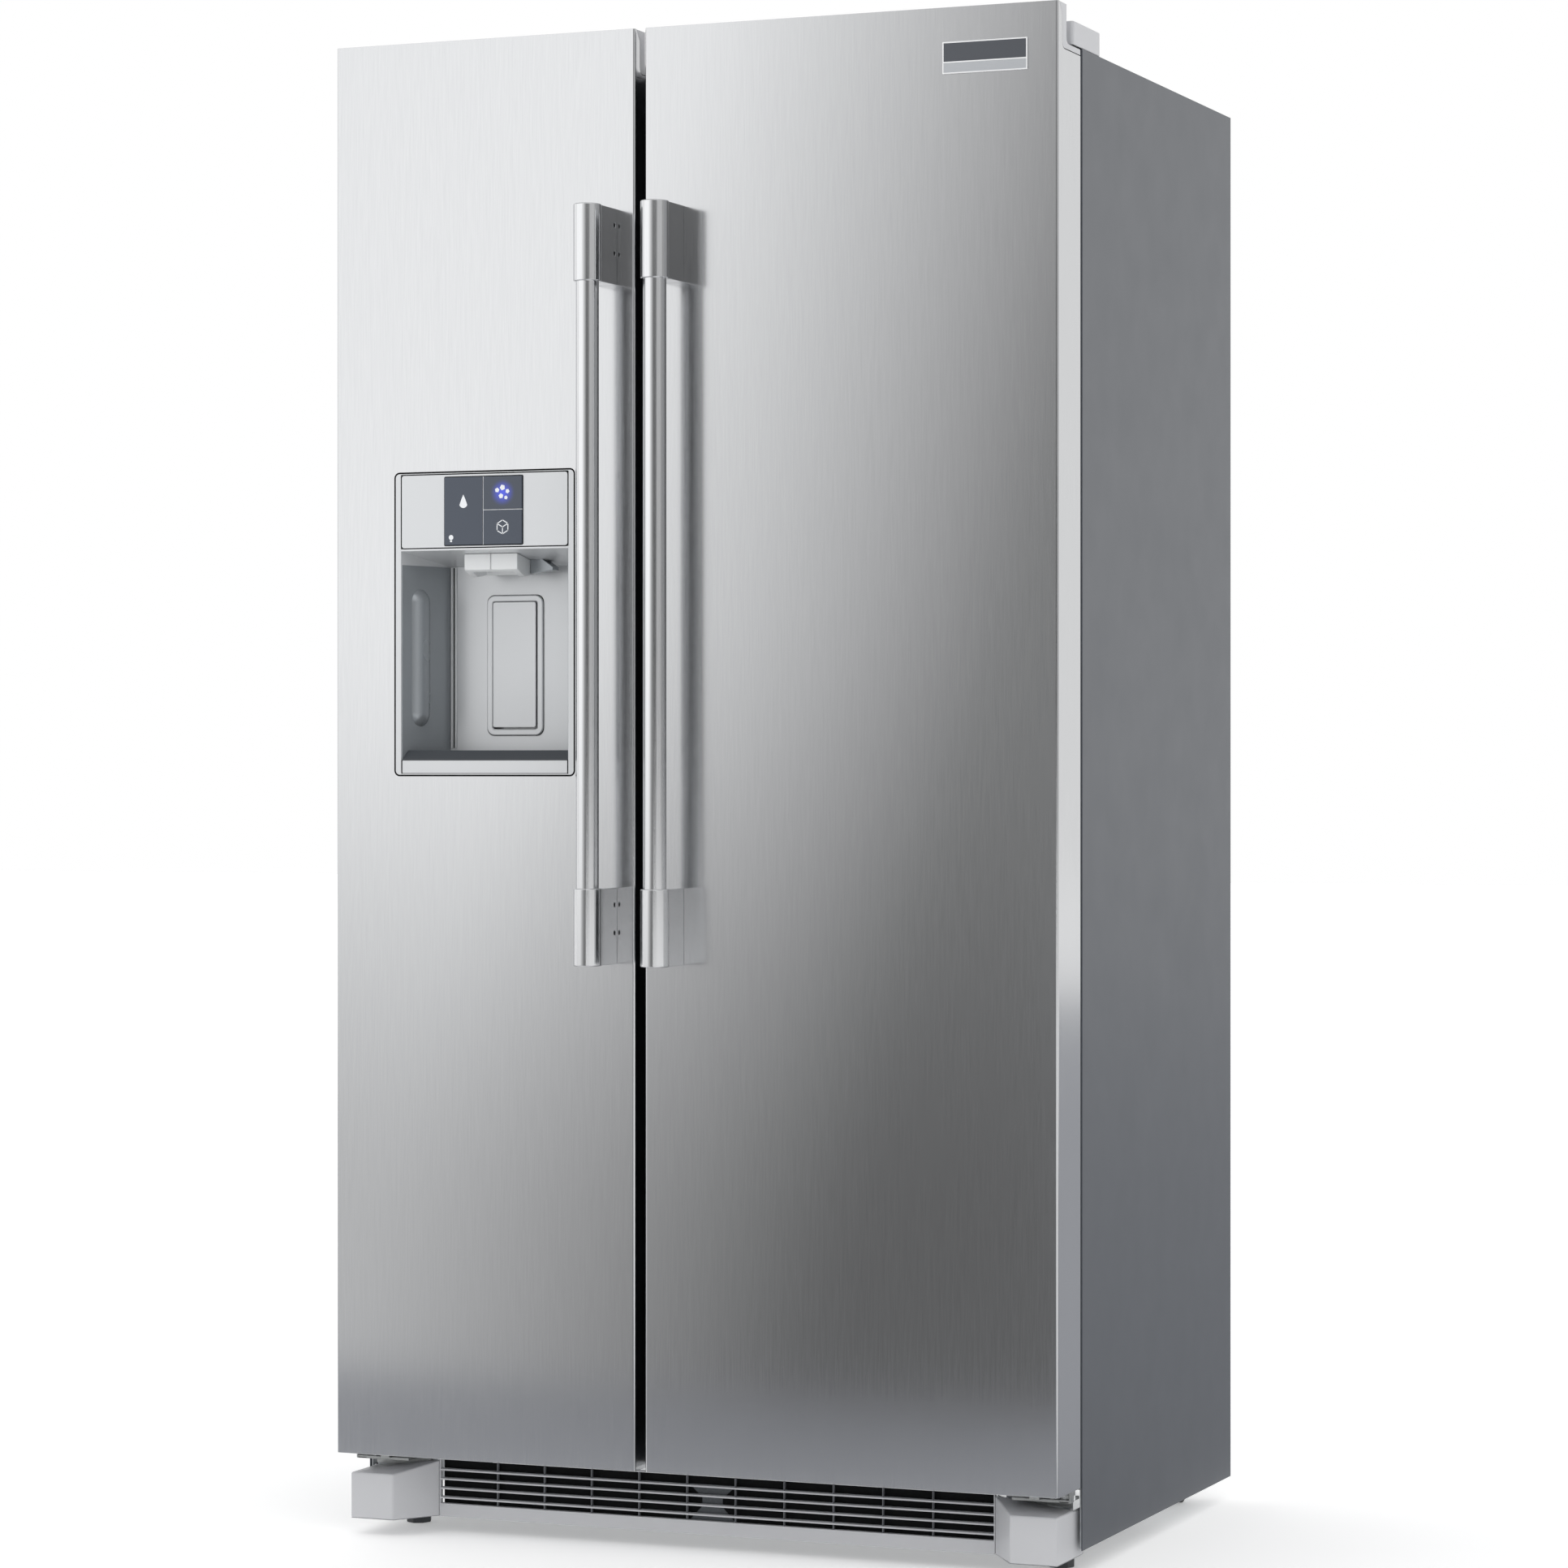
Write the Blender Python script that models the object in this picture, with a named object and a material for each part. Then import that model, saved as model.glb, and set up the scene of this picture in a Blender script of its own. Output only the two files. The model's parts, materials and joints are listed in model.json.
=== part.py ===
"""A side-by-side refrigerator with an ice and water dispenser, modelled piece by piece.

Metres, +Z up. The origin is on the floor, below the middle of the whole outline.
The doors face -Y, the freezer is on the -X side and the fresh-food side on +X.
"""

import math

import bmesh
import bpy
from mathutils import Matrix, Vector

# ---------------------------------------------------------------- driving sizes
GAP = 0.0003  # left between pieces that touch
SHEET = 0.0015  # painted and stainless steel sheet
WALL = 0.0025  # moulded liners and covers

HALF_WIDTH = 0.4572  # a 36 inch wide cabinet
CASE_FRONT, CASE_BACK = -0.2185, 0.375
CASE_BOTTOM, CASE_TOP = 0.028, 1.7466
FOAM_BOTTOM = 0.100

DOOR_FACE, DOOR_REAR = -0.3045, -0.2255
DOOR_BOTTOM, DOOR_TOP = 0.101, 1.789
DOOR_SHELF_TOP = 1.7445  # the door's top behind its riser
RISER_REAR = DOOR_FACE + 0.030
STEEL_NOTCH_TOP = 1.737
STEEL_LIP = 0.014
FREEZER_DOOR_X = (-HALF_WIDTH, -0.0645)
FRIDGE_DOOR_X = (-0.052, HALF_WIDTH)
HINGE_X, HINGE_Y = 0.4465, -0.2405
HINGE_PIN_RADIUS = 0.005
HINGE_HOLE_RADIUS = 0.0056

FREEZER_X = (-0.397, -0.0935)  # inside of the freezer liner
FRIDGE_X = (-0.0235, 0.412)
CAVITY_BOTTOM, CAVITY_TOP, CAVITY_BACK = 0.135, 1.700, 0.320
HUMP_FRONT, HUMP_TOP = 0.085, 0.335  # the machine compartment's step
MACHINE_FRONT, MACHINE_TOP = 0.140, 0.280

FREEZER_DIKE_X = (-0.377, -0.112)
FRIDGE_DIKE_X = (-0.005, 0.392)
DIKE_Z = (0.150, 1.690)
DIKE_REAR = -0.185
RIB = 0.020
BIN_REAR = -0.120
STORE_FRONT = -0.090  # front of shelves and drawers
STORE_BACK = 0.300

HANDLE_Y = -0.3585
HANDLE_X = {"freezer": -0.101, "fridge": -0.0155}
HANDLE_Z = (0.694, 1.579)
CAP_LENGTH = 0.090
CAP_RADIUS, BAR_RADIUS = 0.0165, 0.0135

DISPENSER_X = -0.2605
DISPENSER_HALF = 0.118
DISPENSER_Z = (0.915, 1.276)
RAIL = 0.0078
WELL_BACK = DOOR_FACE + 0.089
PADDLE_RECESS_BACK = -0.2035
BULGE_REAR = -0.160
BULGE_Z = (0.890, 1.310)

TOE_Y = -0.2315
TOE_HALF = 0.356


# ---------------------------------------------------------------- shape helpers
def new_body(mesh_builder):
    """An object made from a bmesh, with its faces turned outwards."""
    bmesh.ops.recalc_face_normals(mesh_builder, faces=mesh_builder.faces)
    mesh = bpy.data.meshes.new("body")
    mesh_builder.to_mesh(mesh)
    mesh_builder.free()
    body = bpy.data.objects.new("body", mesh)
    bpy.context.scene.collection.objects.link(body)
    return body


def placed(axis, across, up, along):
    """The point whose two outline coordinates and distance along the axis are given."""
    return {
        "X": (along, across, up),
        "Y": (across, along, up),
        "Z": (across, up, along),
    }[axis]


def prism(outline, axis, start, end):
    """A solid: an outline in the plane across an axis, extruded along it."""
    builder = bmesh.new()
    low = [builder.verts.new(placed(axis, a, b, start)) for a, b in outline]
    high = [builder.verts.new(placed(axis, a, b, end)) for a, b in outline]
    builder.faces.new(low)
    builder.faces.new(high)
    for i, corner in enumerate(low):
        after = (i + 1) % len(low)
        builder.faces.new((corner, low[after], high[after], high[i]))
    return new_body(builder)


def rectangle(x, z):
    return [(x[0], z[0]), (x[1], z[0]), (x[1], z[1]), (x[0], z[1])]


def block(x, y, z):
    return prism(rectangle(x, y), "Z", z[0], z[1])


def arc(centre, radius, first, last, steps):
    """Points of an arc, with its angles in degrees."""
    angles = [math.radians(first + (last - first) * i / steps) for i in range(steps + 1)]
    return [(centre[0] + radius * math.cos(t), centre[1] + radius * math.sin(t)) for t in angles]


def rounded(x, z, radius, steps=4):
    """A rectangle with round corners."""
    left, right = x[0] + radius, x[1] - radius
    low, high = z[0] + radius, z[1] - radius
    outline = arc((right, high), radius, 0, 90, steps)
    outline += arc((left, high), radius, 90, 180, steps)
    outline += arc((left, low), radius, 180, 270, steps)
    outline += arc((right, low), radius, 270, 360, steps)
    return outline


def cylinder(axis, centre, radius, start, end, sides=24):
    circle = arc(centre, radius, 0, 360 * (sides - 1) / sides, sides - 1)
    return prism(circle, axis, start, end)


def turned(profile, centre, sides=24):
    """A solid of revolution about +Z; the profile lists (radius, height) upwards."""
    builder = bmesh.new()
    rings = []
    for radius, height in profile:
        points = arc(centre, radius, 0, 360 * (sides - 1) / sides, sides - 1)
        rings.append([builder.verts.new((x, y, height)) for x, y in points])
    builder.faces.new(rings[0])
    builder.faces.new(rings[-1])
    for lower, upper in zip(rings, rings[1:]):
        for i in range(sides):
            after = (i + 1) % sides
            builder.faces.new((lower[i], lower[after], upper[after], upper[i]))
    return new_body(builder)


def tapered(front, front_y, back, back_y):
    """A frustum between two outlines of (x, z) points with the same count."""
    builder = bmesh.new()
    near = [builder.verts.new((x, front_y, z)) for x, z in front]
    far = [builder.verts.new((x, back_y, z)) for x, z in back]
    builder.faces.new(near)
    builder.faces.new(far)
    for i in range(len(near)):
        after = (i + 1) % len(near)
        builder.faces.new((near[i], near[after], far[after], far[i]))
    return new_body(builder)


def combine(body, tools, operation):
    """Booleans the tools into the body, one after another, and removes them."""
    for tool in tools:
        modifier = body.modifiers.new("Boolean", "BOOLEAN")
        modifier.operation = operation
        modifier.solver = "EXACT"
        modifier.object = tool
    graph = bpy.context.evaluated_depsgraph_get()
    result = bpy.data.meshes.new_from_object(body.evaluated_get(graph))
    body.modifiers.clear()
    body.data = result
    for tool in tools:
        bpy.data.objects.remove(tool)
    return body


def cut(body, *tools):
    return combine(body, tools, "DIFFERENCE")


def fuse(body, *tools):
    return combine(body, tools, "UNION")


def mirrored(span):
    return (-span[1], -span[0])


def side_span(side, span):
    """A span given for the +X side, on the side asked for (+1 or -1)."""
    return span if side > 0 else mirrored(span)


def finish(name, colour, roughness, metallic=0.0):
    material = bpy.data.materials.new(name)
    material.use_nodes = True
    shader = material.node_tree.nodes["Principled BSDF"]
    shader.inputs["Base Color"].default_value = (*colour, 1.0)
    shader.inputs["Roughness"].default_value = roughness
    shader.inputs["Metallic"].default_value = metallic
    material.diffuse_color = (*colour, 1.0)
    return material


def world_place(thing):
    """Where an unrotated object stands, through its unrotated parents."""
    place = Vector((0.0, 0.0, 0.0))
    while thing:
        place += thing.location
        thing = thing.parent
    return place


def node(name, body, material, parent=None, pivot=(0.0, 0.0, 0.0)):
    """Names a finished piece and moves its origin to the pivot, under its parent."""
    body.name = body.data.name = name
    body.data.materials.clear()
    body.data.materials.append(material)
    body.data.transform(Matrix.Translation(-Vector(pivot)))
    body.location = Vector(pivot) - world_place(parent)
    body.parent = parent
    return body


def smooth(body, angle=35):
    body.data.shade_smooth()
    body.data.set_sharp_from_angle(angle=math.radians(angle))
    return body


def pivot_empty(name, place):
    empty = bpy.data.objects.new(name, None)
    empty.empty_display_size = 0.05
    empty.location = place
    bpy.context.scene.collection.objects.link(empty)
    return empty


# ---------------------------------------------------------------- cabinet
def cavity_profile(grow):
    """The liner's side outline (y, z), grown outwards, open towards -Y."""
    back = CAVITY_BACK + grow
    return [
        (CASE_FRONT - 0.01, CAVITY_BOTTOM - grow),
        (HUMP_FRONT + grow, CAVITY_BOTTOM - grow),
        (HUMP_FRONT + grow, HUMP_TOP - grow),
        (back, HUMP_TOP - grow),
        (back, CAVITY_TOP + grow),
        (CASE_FRONT - 0.01, CAVITY_TOP + grow),
    ]


def grown(span, by):
    return (span[0] - by, span[1] + by)


def make_wrapper(painted):
    """Two sides, a top and a front frame with the strip between the compartments."""
    shell = block((-HALF_WIDTH, HALF_WIDTH), (CASE_FRONT, CASE_BACK), (CASE_BOTTOM, CASE_TOP))
    inner_x = (-HALF_WIDTH + SHEET, HALF_WIDTH - SHEET)
    inside = block(inner_x, (CASE_FRONT + SHEET, CASE_BACK + 0.01), (0.0, CASE_TOP - SHEET))
    through = (CASE_FRONT - 0.01, CASE_FRONT + 0.01)
    toe = block(inner_x, through, (0.0, FOAM_BOTTOM + GAP))
    mouths = [block(span, through, (CAVITY_BOTTOM, CAVITY_TOP)) for span in (FREEZER_X, FRIDGE_X)]
    return node("cabinet_wrapper", cut(shell, inside, toe, *mouths), painted)


def make_insulation(foam):
    """One foamed block between the steel outside and the two liners."""
    half = HALF_WIDTH - SHEET - GAP
    body = block(
        (-half, half), (CASE_FRONT + SHEET + GAP, 0.3715), (FOAM_BOTTOM, CASE_TOP - SHEET - GAP)
    )
    grow = WALL + GAP
    rooms = [prism(cavity_profile(grow), "X", *grown(x, grow)) for x in (FREEZER_X, FRIDGE_X)]
    machine = block((-0.5, 0.5), (MACHINE_FRONT, 0.5), (0.0, MACHINE_TOP))
    return node("cabinet_insulation", cut(body, *rooms, machine), foam)


LEDGE, LEDGE_HEIGHT = 0.012, 0.007
LEDGE_Y = (-0.080, 0.245)


def make_liner(name, span, support_heights, plastic):
    """A thin moulded box, open at the front, with a ledge under each shelf or drawer."""
    front = CASE_FRONT + SHEET + GAP
    body = prism(cavity_profile(WALL), "X", *grown(span, WALL))
    open_front = block((-0.5, 0.5), (-0.5, front), (0.0, 2.0))
    cut(body, prism(cavity_profile(0.0), "X", *span), open_front)
    ledges = []
    for height in support_heights:
        z = (height - GAP - LEDGE_HEIGHT, height - GAP)
        y = (LEDGE_Y[0], min(LEDGE_Y[1], HUMP_FRONT - 0.005 if height < HUMP_TOP else 1.0))
        ledges.append(block((span[0] - WALL / 2, span[0] + LEDGE), y, z))
        ledges.append(block((span[1] - LEDGE, span[1] + WALL / 2), y, z))
    return node(name, fuse(body, *ledges), plastic)


LEG_X, LEG_Y = 0.415, -0.1685
ROLLER_X, ROLLER_Y, ROLLER_RADIUS = 0.400, 0.320, 0.018
DECK_TOP = FOAM_BOTTOM - GAP
DECK_LOW = (0.040, 0.042)


def make_base_deck(galvanised):
    """A stepped steel deck: high under the food compartments, low under the machinery."""
    half = HALF_WIDTH - SHEET - 0.0004
    front, back = CASE_FRONT + SHEET + 0.0005, 0.372
    sheet = 0.002
    step = MACHINE_FRONT - SHEET
    profile = [
        (front, DECK_TOP - sheet),
        (front, DECK_TOP),
        (step, DECK_TOP),
        (step, DECK_LOW[1]),
        (back, DECK_LOW[1]),
        (back, DECK_LOW[0]),
        (step - sheet, DECK_LOW[0]),
        (step - sheet, DECK_TOP - sheet),
    ]
    deck = prism(profile, "X", -half, half)
    extras = []
    for side in (-1, 1):
        extras.append(block(side_span(side, (half - sheet, half)), (front, back), (0.030, DECK_TOP)))
        flange = side_span(side, (0.365, 0.4455))
        extras.append(block(flange, (CASE_FRONT, CASE_FRONT + sheet), (0.045, DECK_TOP)))
        neck = block(flange, (CASE_FRONT + sheet / 2, front + sheet), (DECK_TOP - sheet, DECK_TOP))
        extras.append(neck)
        boss = cylinder("Z", (side * LEG_X, LEG_Y), 0.012, 0.045, DECK_TOP - sheet / 2, 20)
        extras.append(cut(boss, cylinder("Z", (side * LEG_X, LEG_Y), 0.0054, 0.0, 0.094, 16)))
        for cheek in ((0.384, 0.387), (0.413, 0.416)):
            x = side_span(side, cheek)
            plate = block(x, (0.305, 0.335), (0.010, DECK_LOW[0] + sheet / 2))
            bore = cylinder("X", (ROLLER_Y, ROLLER_RADIUS), 0.0044, -0.5, 0.5, 16)
            extras.append(cut(plate, bore))
    return node("base_deck", fuse(deck, *extras), galvanised)


def make_rear_panels(galvanised):
    half = HALF_WIDTH - SHEET - 0.0007
    panel = block((-half, half), (0.3718, 0.3732), (MACHINE_TOP + GAP, CASE_TOP - SHEET - GAP))
    node("rear_panel", panel, galvanised)
    cover = block((-half, half), (0.3723, 0.3737), (0.044, MACHINE_TOP - GAP))
    slots = []
    for row in range(7):
        z = 0.085 + 0.022 * row
        for x in ((-0.36, -0.20), (-0.14, 0.02), (0.10, 0.26)):
            slots.append(block(x, (0.36, 0.38), (z, z + 0.008)))
    cord_gland = cylinder("Y", (-0.400, 0.065), 0.010, 0.3650, 0.3748, 20)
    water_inlet = cylinder("Y", (0.400, 0.065), 0.012, 0.3550, 0.3748, 20)
    node("rear_access_cover", fuse(cut(cover, *slots), cord_gland, water_inlet), galvanised)


def make_machinery(black, copper):
    """The compressor on its foot plate, and the condenser's folded tube."""
    centre = (0.27, 0.255)
    can = [(0.050, 0.052), (0.066, 0.058), (0.072, 0.075), (0.072, 0.150), (0.062, 0.178)]
    can += [(0.040, 0.193), (0.010, 0.198)]
    foot_plate = block((0.170, 0.370), (0.195, 0.315), (DECK_LOW[1] + GAP, 0.046))
    pedestal = cylinder("Z", centre, 0.030, 0.045, 0.060, 20)
    compressor = fuse(turned(can, centre), foot_plate, pedestal)
    node("compressor", smooth(compressor), black)

    left, right, pitch, runs = -0.380, 0.100, 0.024, 8
    route = []
    for run in range(runs):
        z = 0.058 + pitch * run
        ends = (left, right) if run % 2 == 0 else (right, left)
        outwards = 1 if run % 2 == 0 else -1
        route += [(ends[0], z), (ends[1], z)]
        if run < runs - 1:
            turn = arc((ends[1], z + pitch / 2), pitch / 2, -90, 90, 6)[1:-1]
            route += [(ends[1] + outwards * (x - ends[1]), height) for x, height in turn]
    curve = bpy.data.curves.new("condenser_coil", "CURVE")
    curve.dimensions = "3D"
    curve.bevel_depth = 0.0032
    curve.bevel_resolution = 1
    curve.use_fill_caps = True
    spline = curve.splines.new("POLY")
    spline.points.add(len(route) - 1)
    for point, (x, z) in zip(spline.points, route):
        point.co = (x, 0.250, z, 1.0)
    curve.materials.append(copper)
    coil = bpy.data.objects.new("condenser_coil", curve)
    bpy.context.scene.collection.objects.link(coil)


def make_evaporator(aluminium, plastic):
    """A finned coil behind a vented cover at the back of the freezer."""
    fins, pitch, left = 24, 0.0105, -0.368
    outline = [(left, 0.312), (left, 0.280)]
    for fin in range(fins):
        x = left + pitch * fin
        outline += [(x + 0.003, 0.280), (x + 0.003, 0.306), (x + pitch, 0.306), (x + pitch, 0.280)]
    outline += [(left + pitch * fins + 0.003, 0.280), (left + pitch * fins + 0.003, 0.312)]
    node("evaporator", prism(outline, "Z", 0.420, 0.640), aluminium)
    span = grown(FREEZER_X, -2 * GAP)
    cover = block(span, (0.262, 0.266), (HUMP_TOP + GAP, CAVITY_TOP - GAP))
    vents = []
    for row in range(5):
        z = 1.540 + 0.020 * row
        vents.append(block((-0.335, -0.155), (0.25, 0.28), (z, z + 0.008)))
    for row in range(3):
        z = 0.350 + 0.016 * row
        vents.append(block((-0.335, -0.155), (0.25, 0.28), (z, z + 0.007)))
    node("evaporator_cover", cut(cover, *vents), plastic)


def make_toe_grille(plastic):
    """A frame with four slats in front of ten upright ribs."""
    low, high, deep = 0.0195, 0.0900, 0.007
    back = TOE_Y + deep
    frame = block((-TOE_HALF + GAP, TOE_HALF - GAP), (TOE_Y, back), (low, high))
    hole = block((-TOE_HALF + 0.004, TOE_HALF - 0.004), (-0.25, -0.20), (0.0327, 0.0845))
    cut(frame, hole)
    bars = []
    for x in (0.031, 0.093, 0.155, 0.217, 0.279):
        for side in (-1, 1):
            rib = (side * x - 0.0012, side * x + 0.0012)
            bars.append(block(rib, (TOE_Y + 0.002, back), (0.030, 0.087)))
    for z in (0.0423, 0.0533, 0.0645, 0.0760):
        slat = (-TOE_HALF + 0.002, TOE_HALF - 0.002)
        bars.append(block(slat, (TOE_Y, back - 0.001), (z - 0.001, z + 0.001)))
    return node("toe_grille", fuse(frame, *bars), plastic)


def make_foot_cover(side, plastic):
    """A moulded shell in front of each levelling leg, open at the back and below."""
    low, top, inner_top = 0.020, 0.075, 0.087
    front, outer, inner = -0.2835, 0.449, 0.3925
    shell_back = CASE_FRONT - 0.005
    plan = [(TOE_HALF, shell_back), (TOE_HALF, TOE_Y), (inner, front), (outer, front), (outer, shell_back)]
    heights = [inner_top, inner_top, top, top, top]

    def shell(points, tops, bottom):
        builder = bmesh.new()
        lower = [builder.verts.new((side * x, y, bottom)) for x, y in points]
        upper = [builder.verts.new((side * x, y, z)) for (x, y), z in zip(points, tops)]
        builder.faces.new(lower)
        for a, b in ((1, 2), (2, 3), (3, 4)):
            builder.faces.new((upper[0], upper[a], upper[b]))
        for i in range(len(points)):
            after = (i + 1) % len(points)
            builder.faces.new((lower[i], lower[after], upper[after], upper[i]))
        return new_body(builder)

    inset = [
        (TOE_HALF + WALL, shell_back + 0.01),
        (TOE_HALF + WALL, TOE_Y + 0.001),
        (inner + 0.0012, front + WALL),
        (outer - WALL, front + WALL),
        (outer - WALL, shell_back + 0.01),
    ]
    cover = shell(plan, heights, low)
    hollow = shell(inset, [z - WALL for z in heights], low - 0.01)
    skirt = block(side_span(side, (outer - WALL, outer)), (shell_back - 0.002, -0.190), (low, 0.0745))
    name = "foot_cover_right" if side > 0 else "foot_cover_left"
    return node(name, fuse(cut(cover, hollow), skirt), plastic)


# ---------------------------------------------------------------- hinges, feet
def make_hinges(side, zinc, plastic):
    """The bottom hinge, the top hinge and the cover over the top hinge."""
    end = "right" if side > 0 else "left"
    axis = (side * HINGE_X, HINGE_Y)

    flange = block(side_span(side, (0.372, 0.4455)), (-0.2213, CASE_FRONT - GAP), (0.078, 0.0990))
    arm = block(side_span(side, (0.385, 0.4535)), (-0.256, CASE_FRONT - GAP), (0.0880, 0.0915))
    collar = cylinder("Z", axis, 0.009, 0.0905, DOOR_BOTTOM - GAP - 0.0005, 24)
    pin = cylinder("Z", axis, HINGE_PIN_RADIUS, 0.0905, 0.1200, 20)
    node("bottom_hinge_" + end, fuse(flange, arm, collar, pin), zinc)

    plate = block(side_span(side, (0.374, 0.4535)), (-0.2475, -0.158), (CASE_TOP + GAP, 1.7500))
    pin = cylinder("Z", axis, HINGE_PIN_RADIUS, 1.7150, 1.7495, 20)
    nut = cylinder("Z", axis, 0.0068, 1.7485, 1.7560, 6)
    bolts = [cylinder("Z", (side * x, -0.180), 0.006, 1.7495, 1.7550, 6) for x in (0.392, 0.430)]
    node("top_hinge_" + end, fuse(plate, pin, nut, *bolts), zinc)

    bottom, top = CASE_TOP + GAP, 1.774
    outline = rounded(side_span(side, (0.3622, HALF_WIDTH)), (-0.2505, -0.1525), 0.004, 3)
    cover = prism(outline, "Z", bottom, top)
    inside = side_span(side, (0.3622 + 0.002, HALF_WIDTH - 0.002))
    hollow = block(inside, (-0.2485, -0.1545), (bottom - 0.01, top - 0.0025))
    node("hinge_cover_" + end, cut(cover, hollow), plastic)


def make_feet(side, zinc, rubber):
    end = "right" if side > 0 else "left"
    leg_place = (side * LEG_X, LEG_Y)
    profile = [(0.0145, 0.0), (0.016, 0.0015), (0.016, 0.0075), (0.010, 0.010), (0.0095, 0.020)]
    profile += [(0.005, 0.021), (0.005, 0.085)]
    leg = turned(profile, leg_place)
    node("front_leg_" + end, smooth(leg), zinc, pivot=(*leg_place, 0.0))

    tyre = cylinder("X", (ROLLER_Y, ROLLER_RADIUS), ROLLER_RADIUS, side * 0.389, side * 0.411, 32)
    axle = cylinder("X", (ROLLER_Y, ROLLER_RADIUS), 0.004, side * 0.3825, side * 0.4175, 16)
    place = (side * ROLLER_X, ROLLER_Y, ROLLER_RADIUS)
    node("rear_roller_" + end, smooth(fuse(tyre, axle)), rubber, pivot=place)


# ---------------------------------------------------------------- inside
FREEZER_SHELVES = {"upper": 1.270, "lower": 0.900}
FRIDGE_SHELVES = {"upper": 1.270, "middle": 0.900}
CRISPER_COVER_Z = 0.555
BASKET_Z = (0.360, 0.548)
CRISPER_Z = {"upper": (0.360, 0.546), "lower": (0.150, 0.322)}
ICE_BIN_Z = (1.2825, 1.460)


def tray(x, y, z, wall=0.003, front_wall=0.003, floor=0.003):
    """An open box: a drawer, a bin or a basket."""
    body = block(x, y, z)
    room = block((x[0] + wall, x[1] - wall), (y[0] + front_wall, y[1] - wall), (z[0] + floor, z[1] + 0.01))
    return cut(body, room)


def make_shelf(name, span, z, glass):
    """A plate in a moulded rim; the rim stands below the plate at the front and back."""
    x = grown(span, -0.003)
    y = (STORE_FRONT, 0.255)
    shelf = block(x, y, (z, z + 0.012))
    under = block(grown(x, -0.014), (y[0] + 0.016, y[1] - 0.016), (z - 0.01, z + 0.007))
    return node(name, cut(shelf, under), glass)


def make_drawer(name, span, z, back, material):
    """A drawer with a thick front and a finger pull scooped from its upper edge."""
    x = grown(span, -0.008)
    body = tray(x, (STORE_FRONT, back), z, front_wall=0.014)
    middle = (x[0] + x[1]) / 2
    half = (x[1] - x[0]) * 0.3
    pull_y = (STORE_FRONT + 0.0040, STORE_FRONT + 0.0095)
    pull = block((middle - half, middle + half), pull_y, (z[1] - 0.028, z[1] + 0.010))
    return node(name, cut(body, pull), material)


def make_interior(finishes):
    glass, clear, white = finishes["glass"], finishes["clear"], finishes["white"]
    for level, z in FREEZER_SHELVES.items():
        make_shelf("freezer_shelf_" + level, FREEZER_X, z, glass)
    for level, z in FRIDGE_SHELVES.items():
        make_shelf("fridge_shelf_" + level, FRIDGE_X, z, glass)
    make_shelf("crisper_cover", FRIDGE_X, CRISPER_COVER_Z, glass)
    make_drawer("freezer_basket", FREEZER_X, BASKET_Z, 0.250, clear)
    make_drawer("crisper_upper", FRIDGE_X, CRISPER_Z["upper"], STORE_BACK, clear)
    make_drawer("crisper_lower", FRIDGE_X, CRISPER_Z["lower"], HUMP_FRONT - 0.010, clear)

    ice_bin = tray((-0.380, -0.110), (-0.075, 0.235), ICE_BIN_Z, front_wall=0.010)
    auger_way = block((-0.275, -0.215), (-0.08, -0.055), (ICE_BIN_Z[0] + 0.012, ICE_BIN_Z[0] + 0.070))
    node("ice_bin", cut(ice_bin, auger_way), clear)

    motor = block((-0.3965, -0.345), (-0.010, 0.130), (1.545, 1.660))
    mould = block((-0.346, -0.150), (0.020, 0.110), (1.575, 1.635))
    cups = []
    for cup in range(6):
        x = -0.340 + 0.031 * cup
        cups.append(block((x, x + 0.026), (0.026, 0.104), (1.590, 1.70)))
    bail = block((-0.346, -0.165), (0.004, 0.009), (1.550, 1.556))
    tip = block((-0.173, -0.165), (0.004, 0.030), (1.550, 1.585))
    node("ice_maker", cut(fuse(motor, mould, bail, tip), *cups), white)


# ---------------------------------------------------------------- doors
def make_door(name, span, side, dike, finishes, parent):
    """Stainless skin, foamed inner door with its end caps, and magnetic gasket."""
    outline = [(span[1], DOOR_REAR), (span[0], DOOR_REAR)]
    outline += arc((span[0] + 0.003, DOOR_FACE + 0.003), 0.003, 180, 270, 3)
    outline += arc((span[1] - 0.003, DOOR_FACE + 0.003), 0.003, 270, 360, 3)
    skin = prism(outline, "Z", DOOR_BOTTOM, DOOR_TOP)
    room = block(grown(span, -0.0012), (DOOR_FACE + 0.0012, DOOR_REAR + 0.01), (0.0, 2.0))
    notch = block((-0.5, 0.5), (DOOR_FACE + STEEL_LIP, 0.0), (STEEL_NOTCH_TOP, 2.0))
    cut(skin, room, notch)

    inner = grown(span, -0.0015)
    core = block(inner, (DOOR_FACE + 0.0015, DOOR_REAR), (DOOR_BOTTOM, DOOR_TOP))
    above = block((-0.5, 0.5), (RISER_REAR, 0.0), (DOOR_SHELF_TOP, 2.0))
    cut(core, above)
    ring = block(dike, (DOOR_REAR - 0.010, DIKE_REAR), DIKE_Z)
    recess = block(grown(dike, -RIB), (DOOR_REAR, 0.0), grown(DIKE_Z, -RIB))
    fuse(core, cut(ring, recess))
    axis = (side * HINGE_X, HINGE_Y)
    pockets = [
        cylinder("Z", axis, HINGE_HOLE_RADIUS, 0.05, 0.1225, 20),
        cylinder("Z", axis, HINGE_HOLE_RADIUS, 1.7125, 1.80, 20),
    ]
    cut(core, *pockets)

    seal_x = (-0.0455, 0.434) if side > 0 else (-0.419, -0.0715)
    seal_z = (0.113, 1.722)
    gasket = block(seal_x, (DOOR_REAR + GAP, CASE_FRONT - GAP), seal_z)
    cut(gasket, block(grown(seal_x, -0.014), (-0.3, 0.0), grown(seal_z, -0.014)))
    node(name + "_door_gasket", gasket, finishes["gasket"], parent)
    return skin, core


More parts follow.
